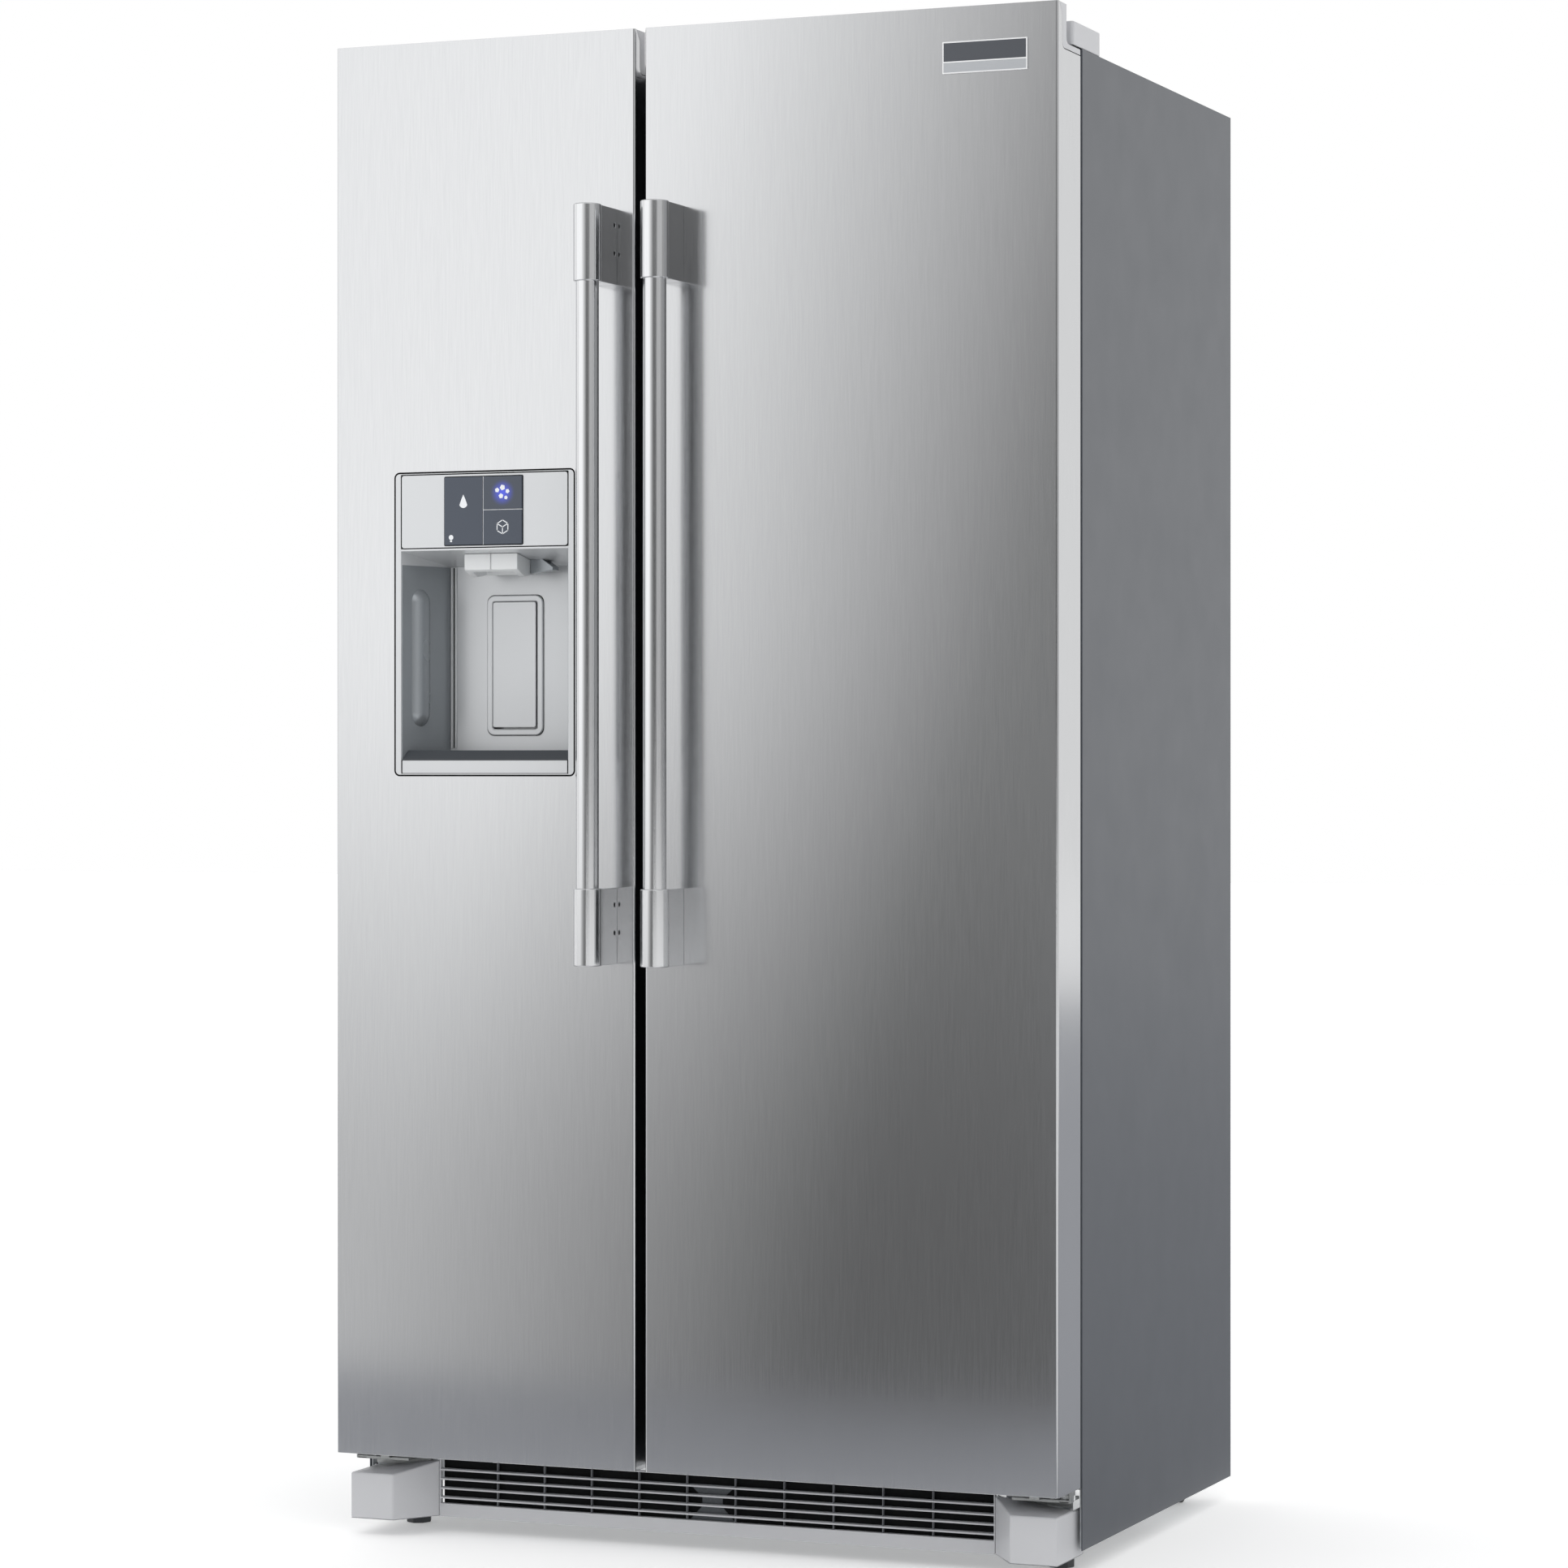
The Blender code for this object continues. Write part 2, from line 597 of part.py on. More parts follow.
def make_handle(name, finishes, parent):
    """A round bar between two longer end caps that stand off the door on brackets."""
    x = HANDLE_X[name]
    low, high = HANDLE_Z
    bar = cylinder("Z", (x, HANDLE_Y), BAR_RADIUS, low + CAP_LENGTH + GAP, high - CAP_LENGTH - GAP, 32)
    node(name + "_handle_bar", smooth(bar), finishes["polished"], parent)
    for end, start in (("top", high - CAP_LENGTH), ("bottom", low)):
        cap = cylinder("Z", (x, HANDLE_Y), CAP_RADIUS, start, start + CAP_LENGTH, 32)
        edge = 0.0027 if end == "top" else 0.0
        foot_z = (start + 0.0027 - edge + GAP, start + CAP_LENGTH - edge - GAP)
        foot = block((x - 0.0135, x + 0.0135), (DOOR_FACE - 0.054, DOOR_FACE - GAP), foot_z)
        screws = []
        inward = 1 if name == "freezer" else -1
        for offset in (0.020, 0.053):
            z = start + CAP_LENGTH - offset
            reach = sorted((x + inward * 0.0115, x + inward * 0.0150))
            screws.append(cylinder("X", (DOOR_FACE - 0.0065, z), 0.0016, *reach, 10))
        mount = cut(fuse(cap, foot), *screws)
        node(name + "_handle_mount_" + end, smooth(mount), finishes["polished"], parent)


def make_fridge_door(finishes):
    hinge = pivot_empty("fridge_door_hinge", (HINGE_X, HINGE_Y, DOOR_BOTTOM))
    skin, core = make_door("fridge", FRIDGE_DOOR_X, 1, FRIDGE_DIKE_X, finishes, hinge)
    node("fridge_door_skin", skin, finishes["steel"], hinge)
    dairy = [block((0.010, 0.377), (DOOR_REAR - 0.010, -0.130), (1.470, 1.478))]
    for cheek in ((0.010, 0.0155), (0.3715, 0.377)):
        dairy.append(block(cheek, (DOOR_REAR - 0.010, -0.135), (1.474, 1.640)))
    node("fridge_door_liner", fuse(core, *dairy), finishes["white"], hinge)
    make_handle("fridge", finishes, hinge)

    badge = block((0.319, 0.421), (DOOR_FACE - 0.0022, DOOR_FACE - GAP), (1.7128, 1.7492))
    node("badge_plate", badge, finishes["polished"], hinge)

    bin_x = grown(FRIDGE_DIKE_X, -RIB - 0.0005)
    bin_y = (DOOR_REAR + GAP, BIN_REAR)
    for level, z in (("upper", 1.180), ("middle", 0.880), ("lower", 0.600)):
        shelf_bin = tray(bin_x, bin_y, (z, z + 0.105))
        node("fridge_door_bin_" + level, shelf_bin, finishes["clear"], hinge)

    lid_x = (bin_x[0] + 0.001, bin_x[1] - 0.001)
    lid_axis = (0.0, -0.150, 1.625)
    profile = [(-0.1535, 1.6285), (-0.1465, 1.6285), (-0.1285, 1.600), (-0.1285, 1.4795)]
    profile += [(-0.1315, 1.4795), (-0.1315, 1.599), (-0.1535, 1.6215)]
    lid = prism(profile, "X", *lid_x)
    node("dairy_lid", lid, finishes["clear"], hinge, lid_axis)


def dispenser_span(half):
    return (DISPENSER_X - half, DISPENSER_X + half)


def make_dispenser(finishes, parent):
    """The housing with its well, the fascia, keys, chute, paddle and drip tray."""
    silver, slate = finishes["silver"], finishes["slate"]
    low, high = DISPENSER_Z
    well_half = DISPENSER_HALF - RAIL
    floor = low + 0.0022
    housing = block(dispenser_span(DISPENSER_HALF), (DOOR_FACE, WELL_BACK + 0.002), DISPENSER_Z)
    back_box = block(dispenser_span(0.040), (WELL_BACK, PADDLE_RECESS_BACK + 0.002), (0.957, 1.138))
    fuse(housing, back_box)
    front_x, back_x = dispenser_span(well_half), dispenser_span(0.088)
    front = [(front_x[0], floor), (front_x[1], floor), (front_x[1], 1.183), (front_x[0], 1.183)]
    back = [(back_x[0], floor), (back_x[1], floor), (back_x[1], 1.167), (back_x[0], 1.167)]
    well = tapered(front, DOOR_FACE - GAP, back, WELL_BACK)
    fascia_room = block(dispenser_span(well_half), (DOOR_FACE - 0.01, -0.2800), (1.1853, high - 0.002))
    recess = prism(rounded(dispenser_span(0.0373), (0.963, 1.132), 0.010), "Y", -0.230, PADDLE_RECESS_BACK)
    node("dispenser_housing", cut(housing, well, fascia_room, recess), silver, parent)

    fascia_x = dispenser_span(well_half - 0.0006)
    fascia = block(fascia_x, (DOOR_FACE, DOOR_FACE + 0.004), (1.1858, high - 0.0025))
    keys_x, keys_z = (-0.3125, -0.2095), (1.1885, 1.2700)
    window = block(keys_x, (DOOR_FACE - 0.01, DOOR_FACE + 0.01), keys_z)
    node("dispenser_fascia", cut(fascia, window), silver, parent)

    middle, split = (keys_x[0] + keys_x[1]) / 2, 1.2300
    for name, x, z in (
        ("water_key", (keys_x[0], middle), keys_z),
        ("crush_key", (middle, keys_x[1]), (split, keys_z[1])),
        ("cube_key", (middle, keys_x[1]), (keys_z[0], split)),
    ):
        key = block(grown(x, -0.0005), (DOOR_FACE - 0.002, DOOR_FACE + 0.012), grown(z, -0.0005))
        place = ((x[0] + x[1]) / 2, DOOR_FACE, (z[0] + z[1]) / 2)
        node(name, key, slate, parent, place)

    ceiling = [(-0.2865, 1.1793), (-0.2865, 1.160), (-0.2660, 1.152), (-0.2350, 1.156), (-0.2350, 1.1700)]
    chute = prism(ceiling, "X", *dispenser_span(0.035))
    mouth = block(dispenser_span(0.027), (-0.2800, -0.2420), (1.10, 1.166))
    node("ice_chute", cut(chute, mouth), finishes["white"], parent)

    paddle_front = WELL_BACK - 0.0040
    paddle_axis = (DISPENSER_X, paddle_front + 0.0015, 1.1200)
    plate = block(dispenser_span(0.02825), (paddle_front, paddle_front + 0.003), (0.973, 1.120))
    barrel = cylinder("X", paddle_axis[1:], 0.0035, *dispenser_span(0.02825), 16)
    node("dispenser_paddle", fuse(plate, barrel), silver, parent, paddle_axis)

    edge = DOOR_FACE + 0.0005
    tray_low = floor + GAP
    profile = [(edge, tray_low), (edge, 0.934), (edge + 0.011, 0.945)]
    profile += [(WELL_BACK - 0.001, 0.945), (WELL_BACK - 0.001, tray_low)]
    drip = prism(profile, "X", *dispenser_span(well_half))
    margin = 0.0006
    plan_front, plan_back = dispenser_span(well_half - margin), dispenser_span(0.088 - margin)
    plan = [(x, DOOR_FACE) for x in plan_front] + [(x, WELL_BACK) for x in reversed(plan_back)]
    fit = prism(plan, "Z", 0.90, 1.0)
    combine(drip, [fit], "INTERSECT")
    basin_plan = [(x * 0.94 + DISPENSER_X * 0.06, y) for x, y in plan]
    basin_plan = [(x, DOOR_FACE + 0.016 if y == DOOR_FACE else WELL_BACK - 0.006) for x, y in basin_plan]
    basin = prism(basin_plan, "Z", 0.925, 1.0)
    node("drip_tray", cut(drip, basin), slate, parent)


def make_freezer_door(finishes):
    hinge = pivot_empty("freezer_door_hinge", (-HINGE_X, HINGE_Y, DOOR_BOTTOM))
    skin, core = make_door("freezer", FREEZER_DOOR_X, -1, FREEZER_DIKE_X, finishes, hinge)
    opening_x = dispenser_span(DISPENSER_HALF + GAP)
    opening_z = grown(DISPENSER_Z, GAP)
    cut(skin, block(opening_x, (-0.32, -0.29), opening_z))
    node("freezer_door_skin", skin, finishes["steel"], hinge)

    bulge = block(grown(FREEZER_DIKE_X, -RIB / 2), (DOOR_REAR - 0.010, BULGE_REAR), BULGE_Z)
    fuse(core, bulge)
    pocket = block(opening_x, (-0.32, WELL_BACK + 0.002 + GAP), opening_z)
    deep = block(dispenser_span(0.0405), (-0.32, PADDLE_RECESS_BACK + 0.0025), (0.9565, 1.1385))
    cut(core, pocket, deep)
    node("freezer_door_liner", core, finishes["white"], hinge)
    make_handle("freezer", finishes, hinge)
    make_dispenser(finishes, hinge)

    bin_x = grown(FREEZER_DIKE_X, -RIB - 0.0005)
    shelf_bin = tray(bin_x, (DOOR_REAR + GAP, BIN_REAR), (0.600, 0.720))
    node("freezer_door_bin", shelf_bin, finishes["clear"], hinge)


# ---------------------------------------------------------------- the whole
def clear_scene():
    for thing in list(bpy.data.objects):
        bpy.data.objects.remove(thing)


def main():
    clear_scene()
    finishes = {
        "painted": finish("painted_steel", (0.13, 0.13, 0.135), 0.45),
        "galvanised": finish("galvanised_steel", (0.45, 0.46, 0.47), 0.45, 0.9),
        "foam": finish("polyurethane_foam", (0.72, 0.62, 0.36), 0.9),
        "white": finish("white_polystyrene", (0.80, 0.81, 0.81), 0.35),
        "grey": finish("grey_abs", (0.38, 0.39, 0.40), 0.5),
        "steel": finish("brushed_stainless", (0.52, 0.52, 0.52), 0.32, 1.0),
        "polished": finish("brushed_bright_stainless", (0.62, 0.62, 0.62), 0.2, 1.0),
        "silver": finish("silver_painted_abs", (0.48, 0.49, 0.50), 0.35, 0.3),
        "slate": finish("slate_abs", (0.06, 0.065, 0.07), 0.35),
        "glass": finish("shelf_glass", (0.70, 0.78, 0.76), 0.1),
        "clear": finish("clear_polystyrene", (0.78, 0.82, 0.84), 0.15),
        "gasket": finish("gasket_vinyl", (0.10, 0.10, 0.105), 0.6),
        "black": finish("black_enamel", (0.02, 0.02, 0.02), 0.35),
        "copper": finish("copper_tube", (0.62, 0.32, 0.18), 0.35, 1.0),
        "zinc": finish("zinc_plated_steel", (0.55, 0.55, 0.54), 0.4, 0.9),
        "rubber": finish("black_rubber", (0.03, 0.03, 0.03), 0.7),
    }
    make_wrapper(finishes["painted"])
    make_insulation(finishes["foam"])
    freezer_supports = (*FREEZER_SHELVES.values(), BASKET_Z[0])
    make_liner("freezer_liner", FREEZER_X, freezer_supports, finishes["white"])
    fridge_supports = (*FRIDGE_SHELVES.values(), CRISPER_COVER_Z, CRISPER_Z["upper"][0])
    fridge_supports += (CRISPER_Z["lower"][0],)
    make_liner("fridge_liner", FRIDGE_X, fridge_supports, finishes["white"])
    make_base_deck(finishes["galvanised"])
    make_rear_panels(finishes["galvanised"])
    make_machinery(finishes["black"], finishes["copper"])
    make_evaporator(finishes["zinc"], finishes["white"])
    make_toe_grille(finishes["grey"])
    for side in (-1, 1):
        make_foot_cover(side, finishes["grey"])
        make_hinges(side, finishes["zinc"], finishes["grey"])
        make_feet(side, finishes["zinc"], finishes["rubber"])
    make_interior(finishes)
    make_freezer_door(finishes)
    make_fridge_door(finishes)


main()
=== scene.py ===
# %% [markdown]
# # A side-by-side refrigerator, finished piece by piece
# The engineering model arrives as a fixed frame: sixty plain, exact solids that already sit in their
# places and move on their joints. This lesson gives them their looks. Each cell below takes one piece
# or one finish, says what it is on a real refrigerator, and then makes it.

# %% Load the frame and note its size
import json
import math

import bmesh
import bpy
from mathutils import Matrix, Vector


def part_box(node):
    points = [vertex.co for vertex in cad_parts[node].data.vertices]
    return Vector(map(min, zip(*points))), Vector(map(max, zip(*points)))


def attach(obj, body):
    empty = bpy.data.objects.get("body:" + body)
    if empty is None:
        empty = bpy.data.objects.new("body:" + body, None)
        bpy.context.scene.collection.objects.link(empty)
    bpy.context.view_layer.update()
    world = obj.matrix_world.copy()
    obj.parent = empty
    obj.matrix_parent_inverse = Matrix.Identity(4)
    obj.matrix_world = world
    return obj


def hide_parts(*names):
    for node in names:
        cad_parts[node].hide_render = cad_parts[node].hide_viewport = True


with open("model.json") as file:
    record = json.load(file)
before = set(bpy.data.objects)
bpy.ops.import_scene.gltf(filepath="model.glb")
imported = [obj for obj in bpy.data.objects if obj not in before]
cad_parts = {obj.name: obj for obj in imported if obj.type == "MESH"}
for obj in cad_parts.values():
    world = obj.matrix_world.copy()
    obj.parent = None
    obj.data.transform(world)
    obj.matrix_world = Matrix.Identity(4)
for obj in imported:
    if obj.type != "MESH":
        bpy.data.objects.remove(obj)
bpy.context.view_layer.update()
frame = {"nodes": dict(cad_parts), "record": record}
MM = 0.001
body_of_node = {n: b for b, nodes in frame["record"]["behaviour"]["bodies"].items() for n in nodes}


def reach(node):
    """Where a CAD node is: its spans along X, Y and Z."""
    low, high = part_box(node)
    return tuple(zip(low, high))


# %% [markdown]
# ## The camera
# A tall cabinet is best seen through a long lens held level at mid height, a good five metres away, so
# its uprights stay upright and the near side shows only a little. The small shift moves the view instead
# of tilting the camera.

# %% Place the camera
CAMERA_PLACE = (2.090, -5.130, 0.923)
CAMERA_TURN = math.radians(22.17)
LENS_MM, SENSOR_MM, SHIFT = 103.68, 36.0, -0.0097
lens = bpy.data.cameras.new("studio_camera")
lens.lens, lens.sensor_width, lens.shift_y = LENS_MM, SENSOR_MM, SHIFT
camera = bpy.data.objects.new("studio_camera", lens)
camera.location = CAMERA_PLACE
camera.rotation_euler = (math.radians(90), 0, CAMERA_TURN)
bpy.context.scene.collection.objects.link(camera)
bpy.context.scene.camera = camera
print("camera", tuple(round(v, 3) for v in camera.location))

# %% [markdown]
# ## Small tools for shapes
# Appliance parts are mostly sheet and moulded sections, so nearly every piece starts as an outline that
# is extruded. Booleans cut the openings, and a Bevel with a limit angle gives every edge the small
# radius that catches the light. An outline is a list of two coordinates in the plane across an axis.


# %% Outlines and extrusions
def from_builder(builder, outwards=False):
    if outwards:
        bmesh.ops.recalc_face_normals(builder, faces=builder.faces)
    mesh = bpy.data.meshes.new("piece")
    builder.to_mesh(mesh)
    builder.free()
    piece = bpy.data.objects.new("piece", mesh)
    bpy.context.scene.collection.objects.link(piece)
    return piece


def on_axis(axis, across, up, along):
    return {"X": (along, across, up), "Y": (across, along, up), "Z": (across, up, along)}[axis]


def loft(rings):
    """Joins rings of points, all with the same count, into one skin with flat ends."""
    builder = bmesh.new()
    rows = [[builder.verts.new(point) for point in ring] for ring in rings]
    for near, far in zip(rows, rows[1:]):
        for i in range(len(near)):
            after = (i + 1) % len(near)
            builder.faces.new((near[i], near[after], far[after], far[i]))
    builder.faces.new(rows[0])
    builder.faces.new(rows[-1])
    return from_builder(builder, outwards=True)


def prism(outline, axis, start, end):
    return loft([[on_axis(axis, a, b, at) for a, b in outline] for at in (start, end)])


def block(x, y, z):
    return prism([(x[0], y[0]), (x[1], y[0]), (x[1], y[1]), (x[0], y[1])], "Z", *z)


def arc(centre, radius, first, last, steps):
    turns = [math.radians(first + (last - first) * i / steps) for i in range(steps + 1)]
    return [(centre[0] + radius * math.cos(t), centre[1] + radius * math.sin(t)) for t in turns]


def rounded(x, z, radius, steps=6):
    """A rectangle with round corners."""
    left, right = x[0] + radius, x[1] - radius
    low, high = z[0] + radius, z[1] - radius
    corners = (((right, high), 0), ((left, high), 90), ((left, low), 180), ((right, low), 270))
    return [point for centre, turn in corners for point in arc(centre, radius, turn, turn + 90, steps)]


def plate(x, y, z, corner, steps=6):
    """A flat plate that faces -Y, with round corners."""
    return prism(rounded(x, z, corner, steps), "Y", *y)


def circle(centre, radius, sides=48):
    return arc(centre, radius, 0, 360 * (sides - 1) / sides, sides - 1)


def rod(axis, centre, radius, start, end, sides=48):
    return prism(circle(centre, radius, sides), axis, start, end)


def turned(profile, centre, sides=48):
    """A solid of revolution about +Z: the profile lists (radius, height) upwards."""
    return loft([[(x, y, z) for x, y in circle(centre, r, sides)] for r, z in profile])


def grown(span, by):
    return (span[0] - by, span[1] + by)


def around(at, half):
    return (at - half, at + half)


def middle(span):
    return (span[0] + span[1]) / 2


print("outline tools ready")


# %% Booleans, edge rounding, and handing a piece over
def baked(piece):
    """Applies the piece's modifiers, so that its mesh is plain."""
    graph = bpy.context.evaluated_depsgraph_get()
    piece.data = bpy.data.meshes.new_from_object(piece.evaluated_get(graph))
    piece.modifiers.clear()
    return piece


def combine(piece, tools, operation):
    for tool in tools:
        step = piece.modifiers.new("Boolean", "BOOLEAN")
        step.operation, step.solver, step.object = operation, "EXACT", tool
    baked(piece)
    for tool in tools:
        bpy.data.objects.remove(tool)
    return piece


def cut(piece, *tools):
    return combine(piece, tools, "DIFFERENCE")


def fuse(piece, *tools):
    return combine(piece, tools, "UNION")


def joined(*pieces):
    """Several shapes in one mesh, without a Boolean: they may lie in each other."""
    builder = bmesh.new()
    for piece in pieces:
        builder.from_mesh(piece.data)
        bpy.data.objects.remove(piece)
    return from_builder(builder)


SAME_POINT = 0.01 * MM
SAME_PLANE = math.radians(0.5)


def softened(piece, width, segments=2, angle=30):
    """Rounds the edges that turn more than the angle, and shades the rest smooth."""
    flat = bmesh.new()
    flat.from_mesh(piece.data)
    bmesh.ops.remove_doubles(flat, verts=flat.verts, dist=SAME_POINT)
    bmesh.ops.dissolve_limit(flat, angle_limit=SAME_PLANE, verts=flat.verts, edges=flat.edges)
    flat.to_mesh(piece.data)
    flat.free()
    bevel = piece.modifiers.new("Bevel", "BEVEL")
    bevel.width, bevel.segments = width, segments
    bevel.limit_method, bevel.angle_limit = "ANGLE", math.radians(angle)
    bevel.use_clamp_overlap = False
    baked(piece)
    return shaded(piece)


def shaded(piece, angle=38):
    """Smooth shading that keeps hard edges, and that large flat faces lead."""
    piece.data.shade_smooth()
    piece.data.set_sharp_from_angle(angle=math.radians(angle))
    weighting = piece.modifiers.new("Normals", "WEIGHTED_NORMAL")
    weighting.keep_sharp = True
    return baked(piece)


def copy_of(node):
    """A merged copy of a CAD node's mesh, ready to be refined."""
    builder = bmesh.new()
    builder.from_mesh(frame["nodes"][node].data)
    bmesh.ops.remove_doubles(builder, verts=builder.verts, dist=SAME_POINT)
    return from_builder(builder)


def hand_over(piece, name, material, node=None, body=None):
    """Names a finished piece, gives it its finish, and lets it ride and stand for a CAD node."""
    piece.name = piece.data.name = name
    piece.data.materials.clear()
    piece.data.materials.append(material)
    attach(piece, body or body_of_node[node])
    if node and not body:
        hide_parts(node)
    return piece


def refined(node, material, width, segments=2):
    """A CAD node whose shape is right, with its edges rounded."""
    return hand_over(softened(copy_of(node), width, segments), node + "_finished", material, node)


def trim(piece, name, material, beside):
    """A piece with no CAD node of its own, on the body of another."""
    return hand_over(piece, name, material, body=body_of_node[beside])


print("boolean and rounding tools ready")

# %% [markdown]
# ## Finishes
# Each finish starts from what the real surface is. Colours are written as sRGB hex and turned to linear
# light by one function. Patterns read Object coordinates, which are metres here, so a pattern's scale is
# one over a real distance.


# %% One function for colours and one for nodes
def linear(code):
    """An sRGB hex colour as linear RGBA."""
    values = [int(code[i : i + 2], 16) / 255 for i in (1, 3, 5)]
    return (*(v / 12.92 if v <= 0.04045 else ((v + 0.055) / 1.055) ** 2.4 for v in values), 1.0)


def add(tree, kind, settings=None, links=None):
    """Adds a node. Settings name a property or an input socket; links name an input socket."""
    family = "ShaderNode" if tree.type == "SHADER" else "GeometryNode"
    node = tree.nodes.new(kind if kind.startswith("NodeGroup") else family + kind)
    for key, value in (settings or {}).items():
        if isinstance(key, str) and hasattr(node, key):
            setattr(node, key, value)
        else:
            node.inputs[key].default_value = value
    for key, source in (links or {}).items():
        tree.links.new(source, node.inputs[key])
    return node


def ramp(tree, source, start, end, low, high, smooth=False):
    """Turns the range from start to end into the range from low to high, and clamps it there."""
    settings = {"From Min": start, "From Max": end, "To Min": low, "To Max": high}
    if smooth:
        settings["interpolation_type"] = "SMOOTHSTEP"
    return add(tree, "MapRange", settings, {"Value": source}).outputs[0]


def maths(tree, operation, first, second):
    """A socket added to or multiplied by another socket or a number."""
    if isinstance(second, bpy.types.NodeSocket):
        return add(tree, "Math", {"operation": operation}, {0: first, 1: second}).outputs[0]
    return add(tree, "Math", {"operation": operation, 1: second}, {0: first}).outputs[0]


def parts_of(tree, kind):
    """The X, Y and Z of a place in Object or Generated coordinates."""
    place = add(tree, "TexCoord")
    return add(tree, "SeparateXYZ", {}, {"Vector": place.outputs[kind]}).outputs


def new_finish(name, colour, roughness, metallic=0.0, **more):
    """A material with a Principled shader, and what its pattern needs."""
    material = bpy.data.materials.new(name)
    material.use_nodes = True
    tree = material.node_tree
    shader = tree.nodes["Principled BSDF"]
    shader.inputs["Base Color"].default_value = linear(colour)
    shader.inputs["Roughness"].default_value = roughness
    shader.inputs["Metallic"].default_value = metallic
    for socket, value in more.items():
        shader.inputs[socket.replace("_", " ")].default_value = value
    return material, tree, shader


def pattern(tree, kind, size, settings=None, stretch=(1, 1, 1)):
    """A texture whose cells are size metres across, longer along an axis by its stretch."""
    place = add(tree, "TexCoord")
    scale = tuple(1 / (size * s) for s in stretch)
    mapping = add(tree, "Mapping", {"Scale": scale}, {"Vector": place.outputs["Object"]})
    return add(tree, kind, {"Scale": 1.0, **(settings or {})}, {"Vector": mapping.outputs["Vector"]})


def varied(tree, shader, socket, source, low, high):
    """Lets a pattern move one number of the shader between two values."""
    tree.links.new(ramp(tree, source, 0.0, 1.0, low, high), shader.inputs[socket])


def tinted(tree, shader, source, first, second):
    """Mixes two near colours by a pattern."""
    settings = {"data_type": "RGBA", 6: linear(first), 7: linear(second)}
    blend = add(tree, "Mix", settings, {0: source})
    tree.links.new(blend.outputs[2], shader.inputs["Base Color"])


def bumped(tree, shader, source, height, strength=1.0):
    bump = add(tree, "Bump", {"Distance": height, "Strength": strength}, {"Height": source})
    tree.links.new(bump.outputs["Normal"], shader.inputs["Normal"])


print("white is", [round(v, 2) for v in linear("#ffffff")])

# %% [markdown]
# ### Brushed stainless steel
# The doors are 430-grade stainless sheet, drawn under an abrasive belt so that fine lines run up and
# down. The lines spread a reflection sideways and give the sheet its soft vertical streaks. Real lines
# are about 0.1 mm apart, too fine to show, so they are drawn 0.8 mm apart and 45 mm long.


# %% Brushed and bright stainless
def brushed_steel(name, colour, darker, roughness, line, stretch, anisotropy):
    settings = {"Anisotropic": anisotropy}
    material, tree, shader = new_finish(name, colour, roughness, 1.0, **settings)
    streaks = pattern(tree, "TexNoise", line, {"Detail": 3.0, "Roughness": 0.6}, stretch)
    varied(tree, shader, "Roughness", streaks.outputs["Fac"], roughness - 0.05, roughness + 0.05)
    tinted(tree, shader, streaks.outputs["Fac"], darker, colour)
    bumped(tree, shader, streaks.outputs["Fac"], 0.01 * MM, 0.5)
    sideways = add(tree, "Tangent", {"direction_type": "RADIAL", "axis": "Z"})
    tree.links.new(sideways.outputs["Tangent"], shader.inputs["Tangent"])
    return material


LONG = (1, 1, 55)
door_steel = brushed_steel("brushed_stainless_steel", "#cdcecf", "#c0c1c3", 0.15, 0.8 * MM, LONG, 0.3)
handle_steel = brushed_steel("bright_drawn_stainless", "#d9dadb", "#cbccce", 0.14, 0.7 * MM, LONG, 0.2)
print(door_steel.name, handle_steel.name)

# %% [markdown]
# ### Paint, plastics and the rest
# The cabinet's sides are pre-painted steel with a very fine orange peel. The mouldings are ABS with a
# spark-eroded grain; the liners are glossy vacuum-formed polystyrene. Sheet steel at the back is
# galvanised, with pale zinc crystals about 10 mm across.


# %% Paints and plastics
def moulded(name, colour, roughness, grain=0.45 * MM, depth=0.02 * MM, metallic=0.0, **more):
    """A moulding or a paint: one colour with a fine grain and slight mottling."""
    material, tree, shader = new_finish(name, colour, roughness, metallic, **more)
    fine = pattern(tree, "TexNoise", grain, {"Detail": 2.0})
    broad = pattern(tree, "TexNoise", 60 * MM, {"Detail": 2.0})
    varied(tree, shader, "Roughness", broad.outputs["Fac"], roughness - 0.04, roughness + 0.04)
    bumped(tree, shader, fine.outputs["Fac"], depth, 0.6)
    return material


# Coil-coated grey paint: satin, with an orange peel about 1.4 mm across that softens its highlights.
side_paint = moulded("orange_peel_grey_paint", "#50545a", 0.40, 1.4 * MM, 0.03 * MM)
# Spark-eroded ABS for caps, feet and grille: an even, slightly soft light grey.
grey_abs = moulded("light_grey_moulded_abs", "#c3c4c7", 0.38)
dark_grey_abs = moulded("dark_grey_moulded_abs", "#3a3c3f", 0.45)
# Metallic paint on ABS for the dispenser: a bright silver with a weak clear coat over it.
silver_abs = moulded("silver_painted_abs", "#ced0d2", 0.30, 0.3 * MM, 0.008 * MM, 0.35, Coat_Weight=0.15)
# Satin slate keys, and the half-metallic lining of the well, which catches long highlights; its darker grey
# is painted shade for the well's walls.
slate_abs = moulded("slate_satin_abs", "#444b57", 0.30, 0.3 * MM, 0.008 * MM, 0.1)
well_shade_abs = moulded("well_painted_shade_abs", "#9a9fa3", 0.26, 0.3 * MM, 0.008 * MM, 0.5)
# Vacuum-formed liners are glossy with a faint waviness; the moulded white parts are satin.
white_hips = moulded("glossy_white_polystyrene", "#e9ebec", 0.24, 2.5 * MM, 0.02 * MM)
white_abs = moulded("satin_white_abs", "#e3e5e6", 0.36)
